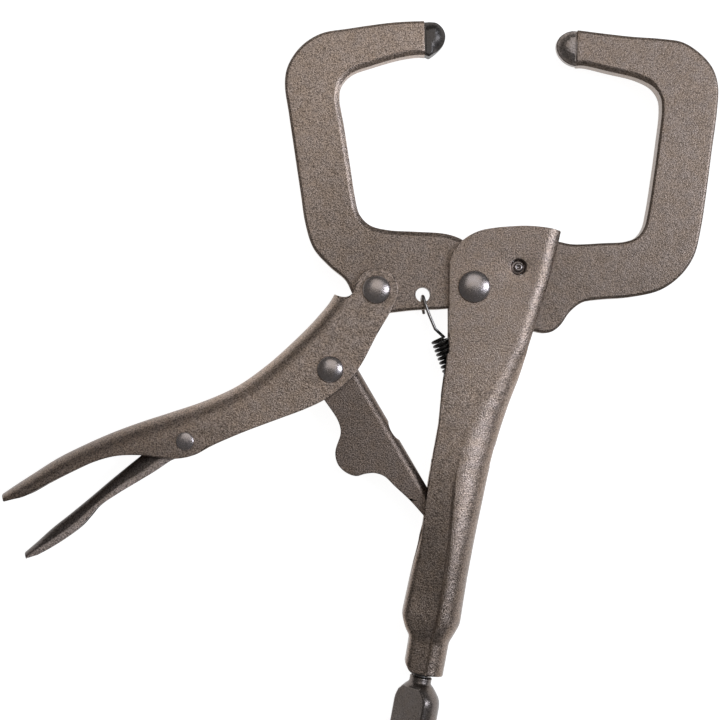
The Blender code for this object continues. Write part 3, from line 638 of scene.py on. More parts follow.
def fixed_arm_outline(q=6):
    back = catmull([
        (36.6, 95.35), (38.0, 95.3), (47.7, 94.1), (58.3, 92.9), (70.4, 92.0), (77.5, 90.8), (83.8, 86.8),
        (88.6, 81.2), (90.6, 74.6), (90.2, 65.0), (88.2, 50.0), (86.2, 34.6), (84.2, 21.6),
        (81.6, 11.4), (76.6, 4.2), (69.0, -1.2), (58.0, -3.7), (46.5, -4.6), (40.2, -5.7),
        (35.6, -9.2), (32.0, -14.2), (29.0, -16.5), (26.0, -17.1), (22.2, -16.4),
    ], False, q)
    tang = catmull([(20.0, -18.0), (17.5, -19.3), (14.6, -19.3), (13.0, -17.6), (11.9, -12.0), (11.6, -4.0), (11.2, 3.4),
                    (10.8, 10.0), (12.4, 14.4), (17.0, 16.6), (24.0, 17.2), (29.0, 17.1)], False, q)
    inner = catmull([
        (31.8, 16.8), (36.4, 15.9), (48.0, 16.3), (56.0, 16.8), (60.6, 18.6), (63.2, 22.2),
        (64.6, 28.0), (66.5, 40.0), (68.4, 54.0), (69.7, 66.0), (69.2, 70.4), (66.6, 74.2),
        (60.5, 77.4), (50.0, 80.0), (41.0, 82.1), (37.4, 82.2), (34.6, 83.3), (32.4, 85.2), (30.95, 87.8), (30.8, 90.8),
        (32.2, 93.3), (34.5, 94.8), (36.6, 95.35),
    ], False, q)
    return back + tang + inner[:-1]


def head_trim(q=6):
    crown = catmull([
        (-9.3, 9.0), (-8.3, 11.9), (-6.6, 14.8), (-4.4, 17.1), (-1.4, 19.2), (2.2, 20.8),
        (8.0, 21.9), (14.0, 22.4), (19.0, 22.6), (24.0, 22.3), (28.8, 21.6), (31.8, 20.8),
    ], False, q)
    # the slot for the fixed arm runs out along the fold instead of stopping in a step
    run_out = [on_axis(h, v) for h, v in ((126.2, 16.42), (124.0, 16.25), (121.5, 16.0), (118.5, 15.7), (115.5, 15.36),
                                          (112.0, 14.95), (110.0, 15.2))]
    right = [(38.0, 18.0), (38.0, -19.6)] + run_out + [on_axis(108, 25), on_axis(0.6, 25)]
    corner = catmull([on_axis(0.6, -4.4), on_axis(1.4, -5.4), on_axis(2.8, -6.4), on_axis(4.6, -7.6)], False, 4)
    left = [on_axis(4.7, -30), on_axis(122.0, -30)]
    flank = catmull([(-9.3, -24.6), (-9.3, -12.0), (-9.35, 2.0), (-9.3, 9.0)], False, 4)
    return crown + right + corner + left + flank[:-1]


def lever_trim(q=6):
    eye = arc(*LEVER_PIN, 8.0, -10.0, 178.0, 12 * q)
    notch = catmull([(-44.6, -2.0), (-46.2, -3.3), (-48.2, -3.7), (-51.0, -2.9), (-53.4, -1.0)], False, q)
    wide = [(-66.0, -6.0), (-92.0, -26.0), (-130.0, -40.0), (-170.0, -60.0), (-184.0, -72.0)]
    tip = catmull([(-177.0, -78.6), (-175.6, -79.6), (-174.3, -79.5), (-171.0, -78.7)], False, q)[:-1]
    lower = catmull([
        (-171.0, -78.7), (-166.1, -77.4), (-158.4, -73.2), (-149.9, -68.9), (-141.5, -65.1), (-132.9, -62.6),
        (-123.6, -62.2), (-116.0, -63.1), (-109.6, -63.5), (-103.2, -62.1), (-97.0, -58.8), (-86.2, -54.1),
        (-73.5, -49.3), (-63.3, -45.5), (-55.6, -41.9), (-49.5, -37.6), (-44.6, -32.8), (-41.2, -27.8),
        (-36.0, -17.8), (-31.2, -9.6), (-28.4, -3.6),
    ], False, q)
    return eye + notch + wide + tip + lower


def link_trim(q=6):
    ux, uy = LINK_SEAT[0] - LINK_PIN[0], LINK_SEAT[1] - LINK_PIN[1]
    ul = math.hypot(ux, uy)
    ux, uy = ux / ul, uy / ul
    ang = math.degrees(math.atan2(uy, ux))

    def at(s, w):
        return (LINK_PIN[0] + ux * s - uy * w, LINK_PIN[1] + uy * s + ux * w)

    head = arc(*LINK_PIN, 8.6, ang + 105.0, ang + 262.0, 8 * q)
    lobe = catmull([
        (-55.4, -42.0), (-50.4, -49.6), (-49.4, -54.0), (-51.4, -61.2), (-50.4, -65.8), (-47.2, -68.9),
        (-43.6, -70.1), (-40.4, -69.3), (-36.8, -69.0), (-33.2, -70.2), (-29.4, -73.8), (-23.6, -79.2),
        (-18.6, -84.8),
    ], False, q)
    tail = arc(*LINK_SEAT, 4.2, ang - 84.0, ang + 80.0, 8 * q)
    wide = [at(ul - 8.0, 13.5), at(37.5, 13.5), at(31.0, 10.0)]
    notch = catmull([(-25.6, -57.4), (-28.3, -56.4), (-30.4, -53.9), (-31.6, -50.6), (-31.2, -47.4)], False, q)
    return head + lobe + tail + wide + notch + [at(15.0, 13.5), at(2.0, 13.5)]


def release_trim(q=6):
    boss = arc(*RELEASE_PIN, 5.9, -62.0, -88.0, 3)
    nose = catmull([(-97.6, -57.4), (-93.6, -54.4), (-90.4, -52.2), (-89.2, -50.4), (-89.6, -48.6), (-91.6, -47.6)], False, q)
    wide = [(-98.0, -47.4), (-112.0, -47.5), (-131.0, -60.0), (-160.0, -84.0), (-172.0, -95.0)]
    tip = catmull([(-170.6, -100.2), (-169.0, -101.2), (-167.2, -101.1), (-165.6, -100.5)], False, q)
    lower = catmull([
        (-161.7, -99.3), (-156.5, -96.5), (-150.4, -92.5), (-145.7, -88.8), (-142.4, -85.1), (-139.4, -81.6),
        (-132.9, -77.1), (-125.9, -72.9), (-118.8, -68.6), (-112.0, -64.2), (-107.6, -62.9), (-103.6, -61.8),
    ], False, q)
    return nose + wide + tip + lower


# ---- pieces ------------------------------------------------------------------
def make_arm(name, outline, inner_of, nose_side, nose_x, holes, mat, nose_mat, body, node):
    """A forged arm cut at the nose line, and its worn round nose a little below the arm's face."""
    def reach(x, y):
        return 2.1 if inner_of(x, y) else 1.1

    def drop(x, y):
        return 1.15 if inner_of(x, y) else 0.6

    arm = rounded_plate(name + "_arm", outline, JAW_HALF, reach, drop, step=0.6)
    far = nose_x + 30.0 * nose_side
    lean = 0.5 * nose_side
    beyond = [(nose_x - lean, 120.0), (nose_x + lean, 70.0), (far, 70.0), (far, 120.0)]
    carve(arm, [("DIFFERENCE", prism("c0", beyond, -12, 12))]
          + [("DIFFERENCE", prism("c%d" % (k + 1), circle(*c, r, 44), -12, 12)) for k, (c, r) in enumerate(holes)])
    soften(arm, 0.3, 55.0)
    dress(arm, mat, body, [node])

    back = nose_x - 0.6 * nose_side
    pts = resample(outline, 0.4)
    slim = offset_ring(pts, np.full(len(pts), 0.12))
    near = [tuple(p) for p in slim if (p[0] - nose_x) * nose_side > -11.0 and p[1] > 70.0]
    jump = max(range(len(near)), key=lambda k: math.dist(near[k - 1], near[k]))
    near = near[jump:] + near[:jump]
    tip = rounded_plate(name + "_nose", near, JAW_HALF - 0.3, lambda x, y: 4.4, lambda x, y: 2.7,
                        step=0.4, rings=12, power=2.1)
    keep = [(back - lean, 120.0), (back + lean, 70.0), (far, 70.0), (far, 120.0)]
    g0, g1 = nose_x + 0.15 * nose_side, nose_x + 0.7 * nose_side
    groove = [(g0 - lean, 120.0), (g0 + lean, 70.0), (g1 + lean, 70.0), (g1 - lean, 120.0)]
    carve(tip, [
        ("INTERSECT", prism("c0", keep, -12, 12)),
        ("DIFFERENCE", prism("c1", groove, JAW_HALF - 1.3, 12)),
        ("DIFFERENCE", prism("c2", groove, -12, 1.3 - JAW_HALF)),
    ])
    soften(tip, 0.0)
    dress(tip, nose_mat, body, [])


def make_arms(mat_a, mat_b, nose_a, nose_b):
    make_arm(
        "moving_jaw", moving_arm_outline(), lambda x, y: (x > -51.5 and 16.0 < y < 80.5) or (x > -50.0 and 76.0 < y < 90.0),
        1.0, -18.3, [(PIVOT, 3.1 + RUN), (LEVER_PIN, 2.6 + RUN), (SPRING_HOLE, SPRING_HOLE_R)],
        mat_a, nose_a, "jaw", "moving_jaw",
    )
    make_arm(
        "fixed_jaw", fixed_arm_outline(), lambda x, y: 72.0 < y < 90.0 and x < 71.0,
        -1.0, 38.4, [(DOWEL, 2.9)], mat_b, nose_b, "handle", "fixed_jaw",
    )


# up the axis, left edge, fold's edge, bend width, ridge height, start and height of the flat,
# height at left, corner radius, how much of the left side is wrapped
HANDLE = [
    (0.0, -6.9, 7.9, 6.4, 7.4, 0.6, 6.7, 6.4, 2.6, 1.0),
    (12.6, -7.1, 7.9, 6.4, 7.4, 0.6, 6.7, 6.4, 2.6, 1.0),
    (17.0, -9.6, 9.3, 7.4, 8.7, 0.8, 7.2, 6.9, 2.7, 1.0),
    (21.5, -11.2, 10.6, 8.4, 9.2, 1.0, 7.6, 7.0, 2.7, 1.0),
    (30.0, -11.0, 10.4, 8.2, 9.3, 0.9, 7.8, 6.6, 2.7, 0.94),
    (40.0, -10.6, 10.2, 8.2, 9.3, 0.6, 8.0, 6.7, 2.5, 0.74),
    (49.0, -10.0, 10.2, 8.8, 9.25, 0.2, 8.1, 7.0, 1.6, 0.36),
    (57.0, -10.1, 10.3, 9.6, 9.15, -0.6, 8.2, 7.4, 0.4, 0.0),
    (66.0, -10.6, 10.5, 10.6, 8.9, -1.6, 8.3, 7.5, 0.2, 0.0),
    (78.0, -10.8, 10.8, 11.6, 8.45, -2.4, 8.2, 7.5, 0.2, 0.0),
    (90.0, -10.8, 11.6, 11.6, 7.95, -2.0, 7.8, 7.3, 0.2, 0.0),
    (104.0, -11.8, 13.4, 9.6, 7.4, 1.8, 7.35, 7.1, 0.2, 0.0),
    (112.0, -12.2, 14.9, 8.4, 7.2, 5.0, 7.15, 7.05, 0.2, 0.0),
    (119.5, -12.7, 16.6, 7.5, 7.05, 7.6, 7.04, 7.0, 0.2, 0.0),
    (125.6, -13.3, 18.2, 7.0, 7.0, 9.7, 7.0, 7.0, 0.2, 0.0),
    (136.0, -22.0, 19.5, 7.0, 7.0, 10.8, 7.0, 7.0, 0.2, 0.0),
    (152.0, -26.0, 21.5, 7.0, 7.0, 12.6, 7.0, 7.0, 0.2, 0.0),
    (168.0, -26.0, 22.4, 7.0, 7.0, 13.4, 7.0, 7.0, 0.2, 0.0),
    (180.0, -26.0, 22.7, 7.0, 7.0, 13.6, 7.0, 7.0, 0.2, 0.0),
]


def handle_half(h):
    left, right, bend, top, vf, zf, zl, rc, wrap = (easy(HANDLE, k, h) for k in range(1, 10))
    half = []
    for k in range(19):
        a = 0.5 * math.pi * k / 18
        half.append((right - bend + bend * math.cos(a), top * math.sin(a)))
    ridge = right - bend
    for k in range(1, 8):
        t = k / 7
        s = t * t * (3 - 2 * t)
        half.append((ridge + (vf - ridge) * t, top + (zf - top) * s))
    for k in range(1, 9):
        t = k / 8
        half.append((vf + (left + rc - vf) * t, zf + (zl - zf) * t))
    side = [(left + rc - rc * math.sin(0.5 * math.pi * k / 8), zl - rc + rc * math.cos(0.5 * math.pi * k / 8)) for k in range(9)]
    side.append((left, 0.3))
    side = np.array(side)
    run = np.concatenate([[0.0], np.cumsum(np.linalg.norm(np.diff(side, axis=0), axis=1))])
    # the wrapped part is at least the corner's first bit, so that every station has the same points
    end = 0.5 * math.pi * rc * min(1.0, 3 * wrap + 0.1) + (run[-1] - 0.5 * math.pi * rc) * max(0.0, (wrap - 0.3) / 0.7)
    at = np.linspace(0.0, end, 11)[1:]
    half += list(zip(np.interp(at, run, side[:, 0]), np.interp(at, run, side[:, 1])))
    return half


def make_handle(mat):
    rows = []
    hs = list(np.arange(0.0, 180.01, 1.2))
    inner = []
    for h in hs:
        half = handle_half(h)
        right = half[0][0]
        inside = [(right - u, z) for u, z in inset_half([(right - v, z) for v, z in half], SHEET)]
        for target, section, limit in ((rows, half, 6.0), (inner, inside, 4.0)):
            row = []
            for v, z in section:
                x, y = on_axis(h, v)
                dist = math.hypot(x - DOWEL[0], y - DOWEL[1])
                z = z - 0.42 * math.exp(-((dist / 3.9) ** 2)) * (1.0 if z > limit else 0.0)
                row.append((x, y, z))
            target.append(mirror_row(row))
    handle = sheet_loft("main_handle_sheet", rows, inner)
    slot_line = [(8.0, 27.0), (8.0, -15.0), (12.6, -20.4), (17.0, -22.6), (22.0, -23.8), (50.0, -23.8), (50.0, 27.0)]
    carve(handle, [
        ("INTERSECT", prism("c0", head_trim(), -12, 12)),
        ("DIFFERENCE", prism("c1", slot_line, -JAW_HALF - 0.2, JAW_HALF + 0.2)),
        ("DIFFERENCE", prism("c2", circle(*PIVOT, 3.1 + RUN, 40), -12, 12)),
        ("DIFFERENCE", prism("c3", circle(*DOWEL, 2.95, 48), -12, 12)),
        ("DIFFERENCE", prism("c4", [on_axis(80.6, 14.0), on_axis(80.6, 6.0), on_axis(88.6, 6.0), on_axis(88.6, 14.0)],
                             -1.6, 1.6)),
        ("UNION", prism("c5", [on_axis(79.4, 10.2), on_axis(79.4, 8.6), on_axis(82.6, 5.6), on_axis(86.8, 4.6),
                               on_axis(87.3, 6.2), on_axis(83.8, 7.2), on_axis(81.4, 9.2), on_axis(80.9, 10.2)], -1.3, 1.3)),
    ])
    soften(handle, 0.34, 50.0)
    return dress(handle, mat, "handle", ["main_handle"])


# fold point, free edge point, half depth, bend width
LEVER = [
    (-46.5, 14.0, -20.0, 14.0, 6.8, 6.6),
    (-51.6, -2.2, -24.0, -2.0, 6.8, 6.6),
    (-58.4, -11.4, -30.0, -18.0, 6.8, 6.8),
    (-69.0, -22.0, -40.0, -36.0, 6.8, 7.2),
    (-78.0, -29.8, -58.0, -46.5, 6.9, 7.6),
    (-88.6, -37.1, -76.5, -54.5, 7.1, 8.2),
    (-101.0, -42.6, -94.0, -62.0, 7.3, 8.8),
    (-112.6, -46.5, -106.0, -66.5, 7.4, 9.0),
    (-124.0, -50.2, -118.0, -66.0, 7.5, 9.2),
    (-134.8, -54.2, -129.6, -65.0, 7.5, 9.0),
    (-145.0, -58.7, -140.4, -67.4, 7.5, 7.6),
    (-155.0, -63.7, -150.6, -71.6, 7.4, 6.4),
    (-164.0, -69.4, -160.0, -76.4, 7.2, 5.2),
    (-170.2, -73.4, -167.2, -79.2, 6.8, 3.9),
    (-175.4, -76.9, -173.2, -80.9, 6.2, 2.7),
]


def bent_rows(stations, thickness, arc_n=14, flat_n=12):
    """Outer and inner grids of a folded sheet whose bend is a quarter of an ellipse."""
    outer, inner = [], []
    for fx, fy, ex, ey, half, bend in stations:
        depth = math.hypot(ex - fx, ey - fy)
        dx, dy = (ex - fx) / depth, (ey - fy) / depth
        bend = min(bend, depth * 0.94)
        out = []
        for k in range(arc_n + 1):
            a = 0.5 * math.pi * k / arc_n
            out.append((bend * (1 - math.cos(a)), half * math.sin(a)))
        for k in range(1, flat_n + 1):
            out.append((bend + (depth - bend) * k / flat_n, half))
        for target, section in ((outer, out), (inner, inset_half(out, thickness))):
            target.append(mirror_row([(fx + dx * u, fy + dy * u, z) for u, z in section]))
    return outer, inner


def make_lever(mat):
    lever = sheet_loft("lever_sheet", *bent_rows(catmull(LEVER, False, 9), LEVER_SHEET))
    carve(lever, [
        ("INTERSECT", prism("c0", lever_trim(), -12, 12)),
        ("DIFFERENCE", prism("c1", circle(*LEVER_PIN, 2.6 + RUN, 40), -12, 12)),
        ("DIFFERENCE", prism("c2", circle(*LINK_PIN, 2.5 + RUN, 40), -12, 12)),
        ("DIFFERENCE", prism("c3", circle(*RELEASE_PIN, 1.9 + RUN, 32), -12, 12)),
    ])
    soften(lever, 0.34, 50.0)
    return dress(lever, mat, "lever", ["lever_handle"])


def make_link(mat):
    ux, uy = LINK_SEAT[0] - LINK_PIN[0], LINK_SEAT[1] - LINK_PIN[1]
    ul = math.hypot(ux, uy)
    ux, uy = ux / ul, uy / ul

    def at(s, w):
        return (LINK_PIN[0] + ux * s - uy * w, LINK_PIN[1] + uy * s + ux * w)

    stations = []
    for s, w in ((-11.0, 9.6), (20.0, 7.6), (45.0, 6.1), (62.0, 5.0), (ul + 8.0, 3.4)):
        stations.append((*at(s, w), *at(s, w - 30.0), LINK_OUT, 3.4))
    link = sheet_loft("toggle_link_sheet", *bent_rows(catmull(stations, False, 14), LINK_SHEET))
    carve(link, [
        ("INTERSECT", prism("c0", link_trim(), -12, 12)),
        ("DIFFERENCE", prism("c1", circle(*LINK_PIN, 2.5 + RUN, 40), -12, 12)),
    ])
    soften(link, 0.3, 50.0)
    return dress(link, mat, "link", ["toggle_link"])


RELEASE = [
    (-88.0, -45.6, -86.0, -58.0, 4.5, 5.4),
    (-97.0, -49.6, -95.0, -62.0, 4.5, 5.8),
    (-108.0, -52.2, -103.4, -66.0, 4.5, 7.4),
    (-117.6, -57.9, -110.0, -69.6, 4.5, 7.3),
    (-126.0, -64.4, -119.4, -73.0, 4.5, 6.6),
    (-134.5, -71.3, -129.6, -79.0, 4.55, 5.2),
    (-142.4, -78.0, -137.0, -86.0, 4.6, 4.9),
    (-150.2, -84.4, -144.4, -92.6, 4.6, 5.5),
    (-157.0, -89.8, -152.4, -97.4, 4.6, 5.0),
    (-163.0, -95.2, -159.0, -101.8, 4.55, 3.0),
    (-167.0, -98.6, -164.8, -103.2, 4.5, 2.2),
]


def make_release(mat):
    lever = sheet_loft("release_sheet", *bent_rows(catmull(RELEASE, False, 9), RELEASE_SHEET, 12, 10))
    carve(lever, [
        ("INTERSECT", prism("c0", release_trim(), -12, 12)),
        ("DIFFERENCE", prism("c1", circle(*RELEASE_PIN, 1.9 + RUN, 32), -12, 12)),
    ])
    soften(lever, 0.28, 50.0)
    return dress(lever, mat, "release", ["release_lever"])


def rivet(name, centre, shank, head, under, top, mat, body, node):
    """Domed heads with a small rolled rim, on both sides."""
    crown = []
    rise = top - under - 0.55
    for k in range(13):
        a = math.radians(90.0 * k / 12)
        crown.append((head * math.sin(a), under + 0.55 + rise * math.cos(a) ** 1.08))
    rim = [(head + 0.04, under + 0.36), (head, under + 0.12), (head - 0.14, under), (shank, under)]
    upper = crown + rim
    obj = lathe(name, upper + [(r, -z) for r, z in reversed(upper)], (*centre, 0.0), steps=56)
    soften(obj, 0.0, sharp=50.0)
    return dress(obj, mat, body, [node])


def make_rivets(mat):
    rivet("jaw_pivot_rivet_head", PIVOT, 3.1, 5.9, CHEEK_OUT + GAP, TUBE_HALF, mat, "handle", "jaw_pivot_rivet")
    rivet("lever_rivet_head", LEVER_PIN, 2.6, 5.2, LEVER_OUT + GAP, 9.2, mat, "jaw", "lever_rivet")
    rivet("toggle_rivet_head", LINK_PIN, 2.5, 4.9, LEVER_OUT + GAP, 9.0, mat, "lever", "toggle_rivet")
    rivet("release_rivet_head", RELEASE_PIN, 1.9, 3.3, 7.6, 8.7, mat, "lever", "release_rivet")


def make_dowel(mat):
    upper = [(0.0, 5.3), (0.3, 5.32), (0.55, 5.6), (0.8, 5.86), (1.1, 5.9), (1.45, 5.8), (1.6, 5.5), (1.65, 4.6), (1.8, 4.1),
             (2.6, 4.0), (2.8, 3.9), (2.8, 3.6)]
    obj = lathe("dowel_pin", upper + [(r, -z) for r, z in reversed(upper)], (*DOWEL, 0.0), steps=48)
    soften(obj, 0.0, sharp=60.0)
    return dress(obj, mat, "handle", ["fixed_jaw_dowel"])


SCREW_TOP = 35.6
KNOB_TOP = -0.9
KNOB_END = -29.6
PITCH = 1.25


def make_screw(mat_screw, mat_knob):
    base = world(*on_axis(0.0), 0.0)
    up = Vector((DX, DY, 0.0))
    side = Vector((0.0, 0.0, 1.0))
    other = up.cross(side)
    per = 36
    bm = bmesh.new()
    start, end = KNOB_TOP - 0.8, SCREW_TOP - 1.2
    turns = (end - start) / PITCH
    crest, root = THREAD_R, THREAD_R - 0.62
    shape = [(root, 0.0), (root, 0.1), (crest, 0.42), (crest, 0.56), (root, 0.9)]
    count = int(turns * per)
    strips = []
    for k in range(count + 1):
        a = 2 * math.pi * k / per
        h = start + PITCH * k / per
        fade = min(1.0, k / (0.6 * per), (count - k) / (0.6 * per))
        ring = []
        for r, f in shape:
            rr = root + (r - root) * fade
            ring.append(bm.verts.new(base + up * ((h + f * PITCH) * MM)
                                     + (side * math.cos(a) + other * math.sin(a)) * rr * MM))
        strips.append(ring)
    for a, b in zip(strips, strips[1:]):
        for i in range(len(shape) - 1):
            bm.faces.new((a[i], b[i], b[i + 1], a[i + 1]))
    for i in range(len(strips) - per):
        a0, a1 = strips[i][-1], strips[i + 1][-1]
        b0, b1 = strips[i + per][0], strips[min(i + 1 + per, len(strips) - 1)][0]
        if b0 is not b1:
            bm.faces.new((a0, a1, b1, b0))
    bmesh.ops.recalc_face_normals(bm, faces=bm.faces)
    mesh = bpy.data.meshes.new("adjusting_screw_thread")
    bm.to_mesh(mesh)
    bm.free()
    thread = add("adjusting_screw_thread", mesh)
    core = lathe("core", [
        (0.0, SCREW_TOP), (2.6, SCREW_TOP), (3.2, SCREW_TOP - 0.5), (root + 0.02, SCREW_TOP - 1.2), (root + 0.02, KNOB_TOP - 0.8),
        (3.0, KNOB_TOP - 1.2), (3.0, -19.5), (0.0, -19.5),
    ], (*on_axis(0.0), 0.0), "SCREW", 36)
    merged = bmesh.new()
    merged.from_mesh(thread.data)
    merged.from_mesh(core.data)
    merged.to_mesh(thread.data)
    merged.free()
    bpy.data.objects.remove(core, do_unlink=True)
    soften(thread, 0.0, sharp=35.0)
    dress(thread, mat_screw, "screw", ["adjusting_screw"])

    nose = lathe("screw_nose_tip", [
        (0.0, 41.6), (0.8, 41.55), (1.6, 41.2), (2.3, 40.7), (2.75, 40.0), (3.05, 39.2), (3.1, 38.6),
        (3.1, SCREW_TOP + 0.6), (2.8, SCREW_TOP + 0.3), (0.0, SCREW_TOP + 0.3),
    ], (*on_axis(0.0), 0.0), "SCREW", 40)
    soften(nose, 0.0)
    dress(nose, mat_screw, "screw_slide", ["screw_nose"])

    knob = lathe("adjusting_knob_body", [
        (3.25, KNOB_TOP), (3.9, KNOB_TOP), (4.1, KNOB_TOP - 0.2), (4.1, -2.9), (4.25, -3.4), (5.2, -4.2), (6.6, -5.9),
        (7.7, -7.4), (8.3, -8.7), (8.6, -10.0), (8.7, -11.5), (8.7, -26.8), (8.5, -28.2), (7.9, -29.2), (7.0, KNOB_END),
        (0.0, KNOB_END), (0.0, -20.3), (3.25, -20.3), (3.25, KNOB_TOP),
    ], (*on_axis(0.0), 0.0), "SCREW", 72)
    bm = bmesh.new()
    bm.from_mesh(knob.data)
    bmesh.ops.remove_doubles(bm, verts=bm.verts, dist=1e-6)
    bmesh.ops.recalc_face_normals(bm, faces=bm.faces)
    bm.to_mesh(knob.data)
    bm.free()
    tilt = math.radians(46.0)
    across = Vector((-DY, DX, 0.0)) * math.sin(tilt) + Vector((0.0, 0.0, 1.0)) * math.cos(tilt)
    along = up.cross(across)
    steps = []
    for sign in (1.0, -1.0):
        mesh = bpy.data.meshes.new("flat")
        bm = bmesh.new()
        bmesh.ops.create_cube(bm, size=1.0)
        bmesh.ops.scale(bm, vec=(0.008, 0.03, 0.03), verts=bm.verts)
        rot = Matrix((across * sign, along * sign, up)).transposed().to_4x4()
        centre = world(*on_axis(-20.2), 0.0) + across * sign * (0.0041 + 0.004)
        bm.transform(Matrix.Translation(centre) @ rot)
        bmesh.ops.recalc_face_normals(bm, faces=bm.faces)
        bm.to_mesh(mesh)
        bm.free()
        steps.append(("DIFFERENCE", add("flat", mesh)))
    carve(knob, steps)
    soften(knob, 0.5, 32.0, 3)
    dress(knob, mat_knob, "screw", ["adjusting_knob"])


def make_spring(mat):
    start = (-12.25, -18.5)
    end = on_axis(86.3, 6.5)
    ax, ay = end[0] - start[0], end[1] - start[1]
    length = math.hypot(ax, ay)
    ax, ay = ax / length, ay / length
    nx, ny = ay, -ax
    coil_r, pitch, turns, per = 3.4, 1.62, 17, 24
    lead = catmull([
        (-18.2, -9.6, -5.7), (-18.7, -7.2, -5.95), (-18.95, -4.4, -5.6), (-18.9, -3.4, -3.4), (-18.9, -3.3, 0.0),
        (-18.9, -3.4, 3.4), (-18.7, -4.0, 5.2), (-18.2, -5.8, 5.75), (-16.9, -9.6, 5.6), (-15.4, -13.2, 5.2),
        (-14.2, -16.0, 4.6),
    ], False, 6)
    pts = lead[:-1]
    for k in range(turns * per + 1):
        a = 2 * math.pi * k / per
        s = 0.6 + pitch * k / per
        r = coil_r * (1 - 0.10 * (k / (turns * per)))
        off = r * math.sin(a - 0.35)
        pts.append((start[0] + ax * s + nx * off, start[1] + ay * s + ny * off, r * math.cos(a - 0.35)))
    s = 0.6 + pitch * turns
    tail = catmull([
        pts[-1],
        *[(start[0] + ax * u + nx * w, start[1] + ay * u + ny * w, z) for u, w, z in (
            (s + 2.4, -0.4, 1.7), (s + 5.0, -1.2, 0.4), (length - 4.6, -2.6, 0.0), (length - 1.6, -3.0, 0.0),
            (length + 1.4, -2.4, 0.0), (length + 2.6, -0.4, 0.0))],
    ], False, 6)
    pts += tail[1:]
    spring = tube("return_spring_coil", pts, 0.58, 10)
    spring.data.shade_smooth()
    spring.data.materials.append(mat)
    a, b = world(*on_axis(86.3, 6.0), 0.0), world(-18.9, -3.4, 0.0)
    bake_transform(spring)
    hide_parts("return_spring")
    return spring


def make_stage():
    mesh = bpy.data.meshes.new("floor")
    bm = bmesh.new()
    bmesh.ops.create_grid(bm, x_segments=2, y_segments=2, size=4.0)
    bm.to_mesh(mesh)
    bm.free()
    floor = add("studio_floor", mesh)
    floor.location = (0.0, 0.0, -0.0003)
    mat = bpy.data.materials.new("pale_floor")
    mat.use_nodes = True
    shader = mat.node_tree.nodes["Principled BSDF"]
    shader.inputs["Base Color"].default_value = (0.35, 0.35, 0.35, 1.0)
    shader.inputs["Roughness"].default_value = 0.9
    shader.inputs["Emission Color"].default_value = (1.0, 1.0, 1.0, 1.0)
    shader.inputs["Emission Strength"].default_value = 0.93
    floor.data.materials.append(mat)

    def panel(name, where, aim, size, power, colour=(1.0, 1.0, 1.0)):
        light = bpy.data.lights.new(name, "AREA")
        light.shape = "RECTANGLE"
        light.size, light.size_y = size
        light.energy = power
        light.color = colour
        obj = bpy.data.objects.new(name, light)
        obj.location = where
        obj.rotation_euler = (Vector(aim) - Vector(where)).to_track_quat("-Z", "Y").to_euler()
        obj.visible_camera = False
        SCENE.collection.objects.link(obj)

    panel("overhead_box", (0.08, 0.60, 1.60), (0.0, 0.0, 0.0), (1.1, 1.1), 4.3)
    panel("right_box", (1.15, 0.12, 1.15), (0.0, 0.0, 0.0), (0.4, 1.0), 11.5, (0.90, 0.99, 1.14))

    back = bpy.data.worlds.new("studio")
    SCENE.world = back
    back.use_nodes = True
    nt = back.node_tree
    bg = nt.nodes["Background"]
    bg.inputs["Color"].default_value = (0.13, 0.13, 0.13, 1.0)
    bg.inputs["Strength"].default_value = 1.0
    white = nt.nodes.new("ShaderNodeBackground")
    white.inputs["Color"].default_value = (1.0, 1.0, 1.0, 1.0)
    ray = nt.nodes.new("ShaderNodeLightPath")
    mix = nt.nodes.new("ShaderNodeMixShader")
    nt.links.new(ray.outputs["Is Camera Ray"], mix.inputs["Fac"])
    nt.links.new(bg.outputs[0], mix.inputs[1])
    nt.links.new(white.outputs[0], mix.inputs[2])
    nt.links.new(mix.outputs[0], nt.nodes["World Output"].inputs["Surface"])

    cam = bpy.data.cameras.new("camera")
    cam.lens = 94.6
    cam.sensor_width = 36.0
    obj = bpy.data.objects.new("camera", cam)
    obj.location = (0.00018, 0.01083, 0.7148)
    obj.rotation_euler = (0.0, 0.0, 0.0)
    SCENE.collection.objects.link(obj)
    SCENE.camera = obj
    SCENE.view_settings.view_transform = "Standard"
    SCENE.view_settings.look = "None"


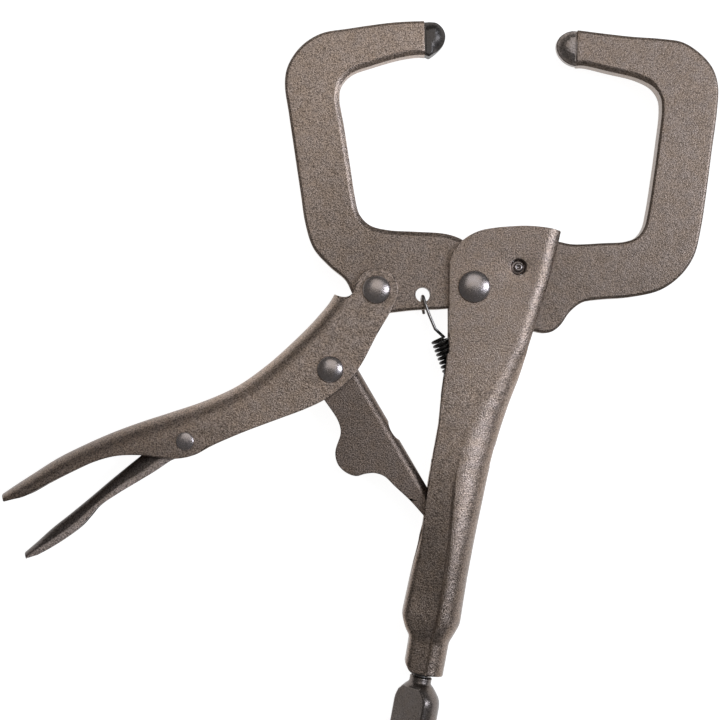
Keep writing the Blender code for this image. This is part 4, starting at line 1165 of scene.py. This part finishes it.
def main():
    arm = (0.38, 0.292, 0.236)

    def toned(k, c=arm):
        return tuple(k * x for x in c)

    down_handle = (-DX, -DY, 0.0)
    # painted shade: both arms darken towards their lower ends for the light falling off, and the right arm is painted a
    # lower tone than the left to even out the lamp at the right
    mat_arm_l = steel("blasted_arm_left", toned(0.98), 0.37, painted_shade_and_tone_ramps=[((-60.0, 66.0, 0.0), (0.25, -1.0, 0.0), 64.0, 0.70)])
    mat_arm_r = steel("blasted_arm_right", toned(0.71), 0.37, grain=0.8, painted_shade_and_tone_ramps=[((70.0, 40.0, 0.0), (-0.2, -1.0, 0.0), 40.0, 0.88)])
    mat_nose_l = steel("worn_nose_left", (0.085, 0.075, 0.069), 0.38, grain=0.3, bump=0.3)
    mat_nose_r = steel("worn_nose_right", (0.31, 0.262, 0.235), 0.36, grain=0.8, bump=0.6)
    # painted shade: the handle darkens down towards the knob and at the head's top end, for the light falling off
    mat_handle = steel("handle_sheet_steel", toned(0.87), 0.33, painted_shade_and_tone_ramps=[
        (on_axis(104.0) + (0.0,), down_handle, 62.0, 0.74), (on_axis(140.0) + (0.0,), (DX, DY, 0.0), 24.0, 0.84)])
    # painted shade: the lever darkens towards its tip and towards its eye, for the light falling off
    mat_lever = steel("lever_sheet_steel", toned(0.96), 0.36, painted_shade_and_tone_ramps=[
        ((-84.0, -40.0, 0.0), (-0.9, -0.42, 0.0), 60.0, 0.55), ((-70.0, -20.0, 0.0), (0.85, 0.5, 0.0), 30.0, 0.84)])
    # painted shade: the link's darker tone stands for the shade between the lever's cheeks
    mat_link = steel("link_sheet_steel", (0.21, 0.16, 0.13), 0.40)
    # painted shade: the release lever's very dark base tone stands for the shade on its steep fold wall; only the flat
    # cheek is lifted lighter
    mat_release = steel("release_sheet_steel", (0.13, 0.107, 0.095), 0.40, painted_fold_shade=(4.28, 4.44, 3.6))
    mat_rivet = steel("rivet_steel", (0.36, 0.31, 0.29), 0.25, grain=0.25, bump=0.25)
    mat_screw = steel("screw_steel", (0.22, 0.2, 0.19), 0.32, grain=0.3, bump=0.2)
    # painted shade: the knob's darker tone stands for the light falling off at the bottom end
    mat_knob = steel("knob_steel", (0.17, 0.142, 0.126), 0.3, grain=0.4, bump=0.3)
    # the wire is darker from the coil's start onwards
    mat_wire = steel("spring_wire", (0.26, 0.235, 0.215), 0.3, grain=0.3, bump=0.1,
                     painted_shade_and_tone_ramps=[((-14.4, -15.2, 0.0), (0.25, -0.97, 0.0), 1.6, 0.16)])
    make_stage()
    make_arms(mat_arm_l, mat_arm_r, mat_nose_l, mat_nose_r)
    make_handle(mat_handle)
    make_lever(mat_lever)
    make_link(mat_link)
    make_release(mat_release)
    make_rivets(mat_rivet)
    make_dowel(mat_rivet)
    make_screw(mat_screw, mat_knob)
    make_spring(mat_wire)


main()
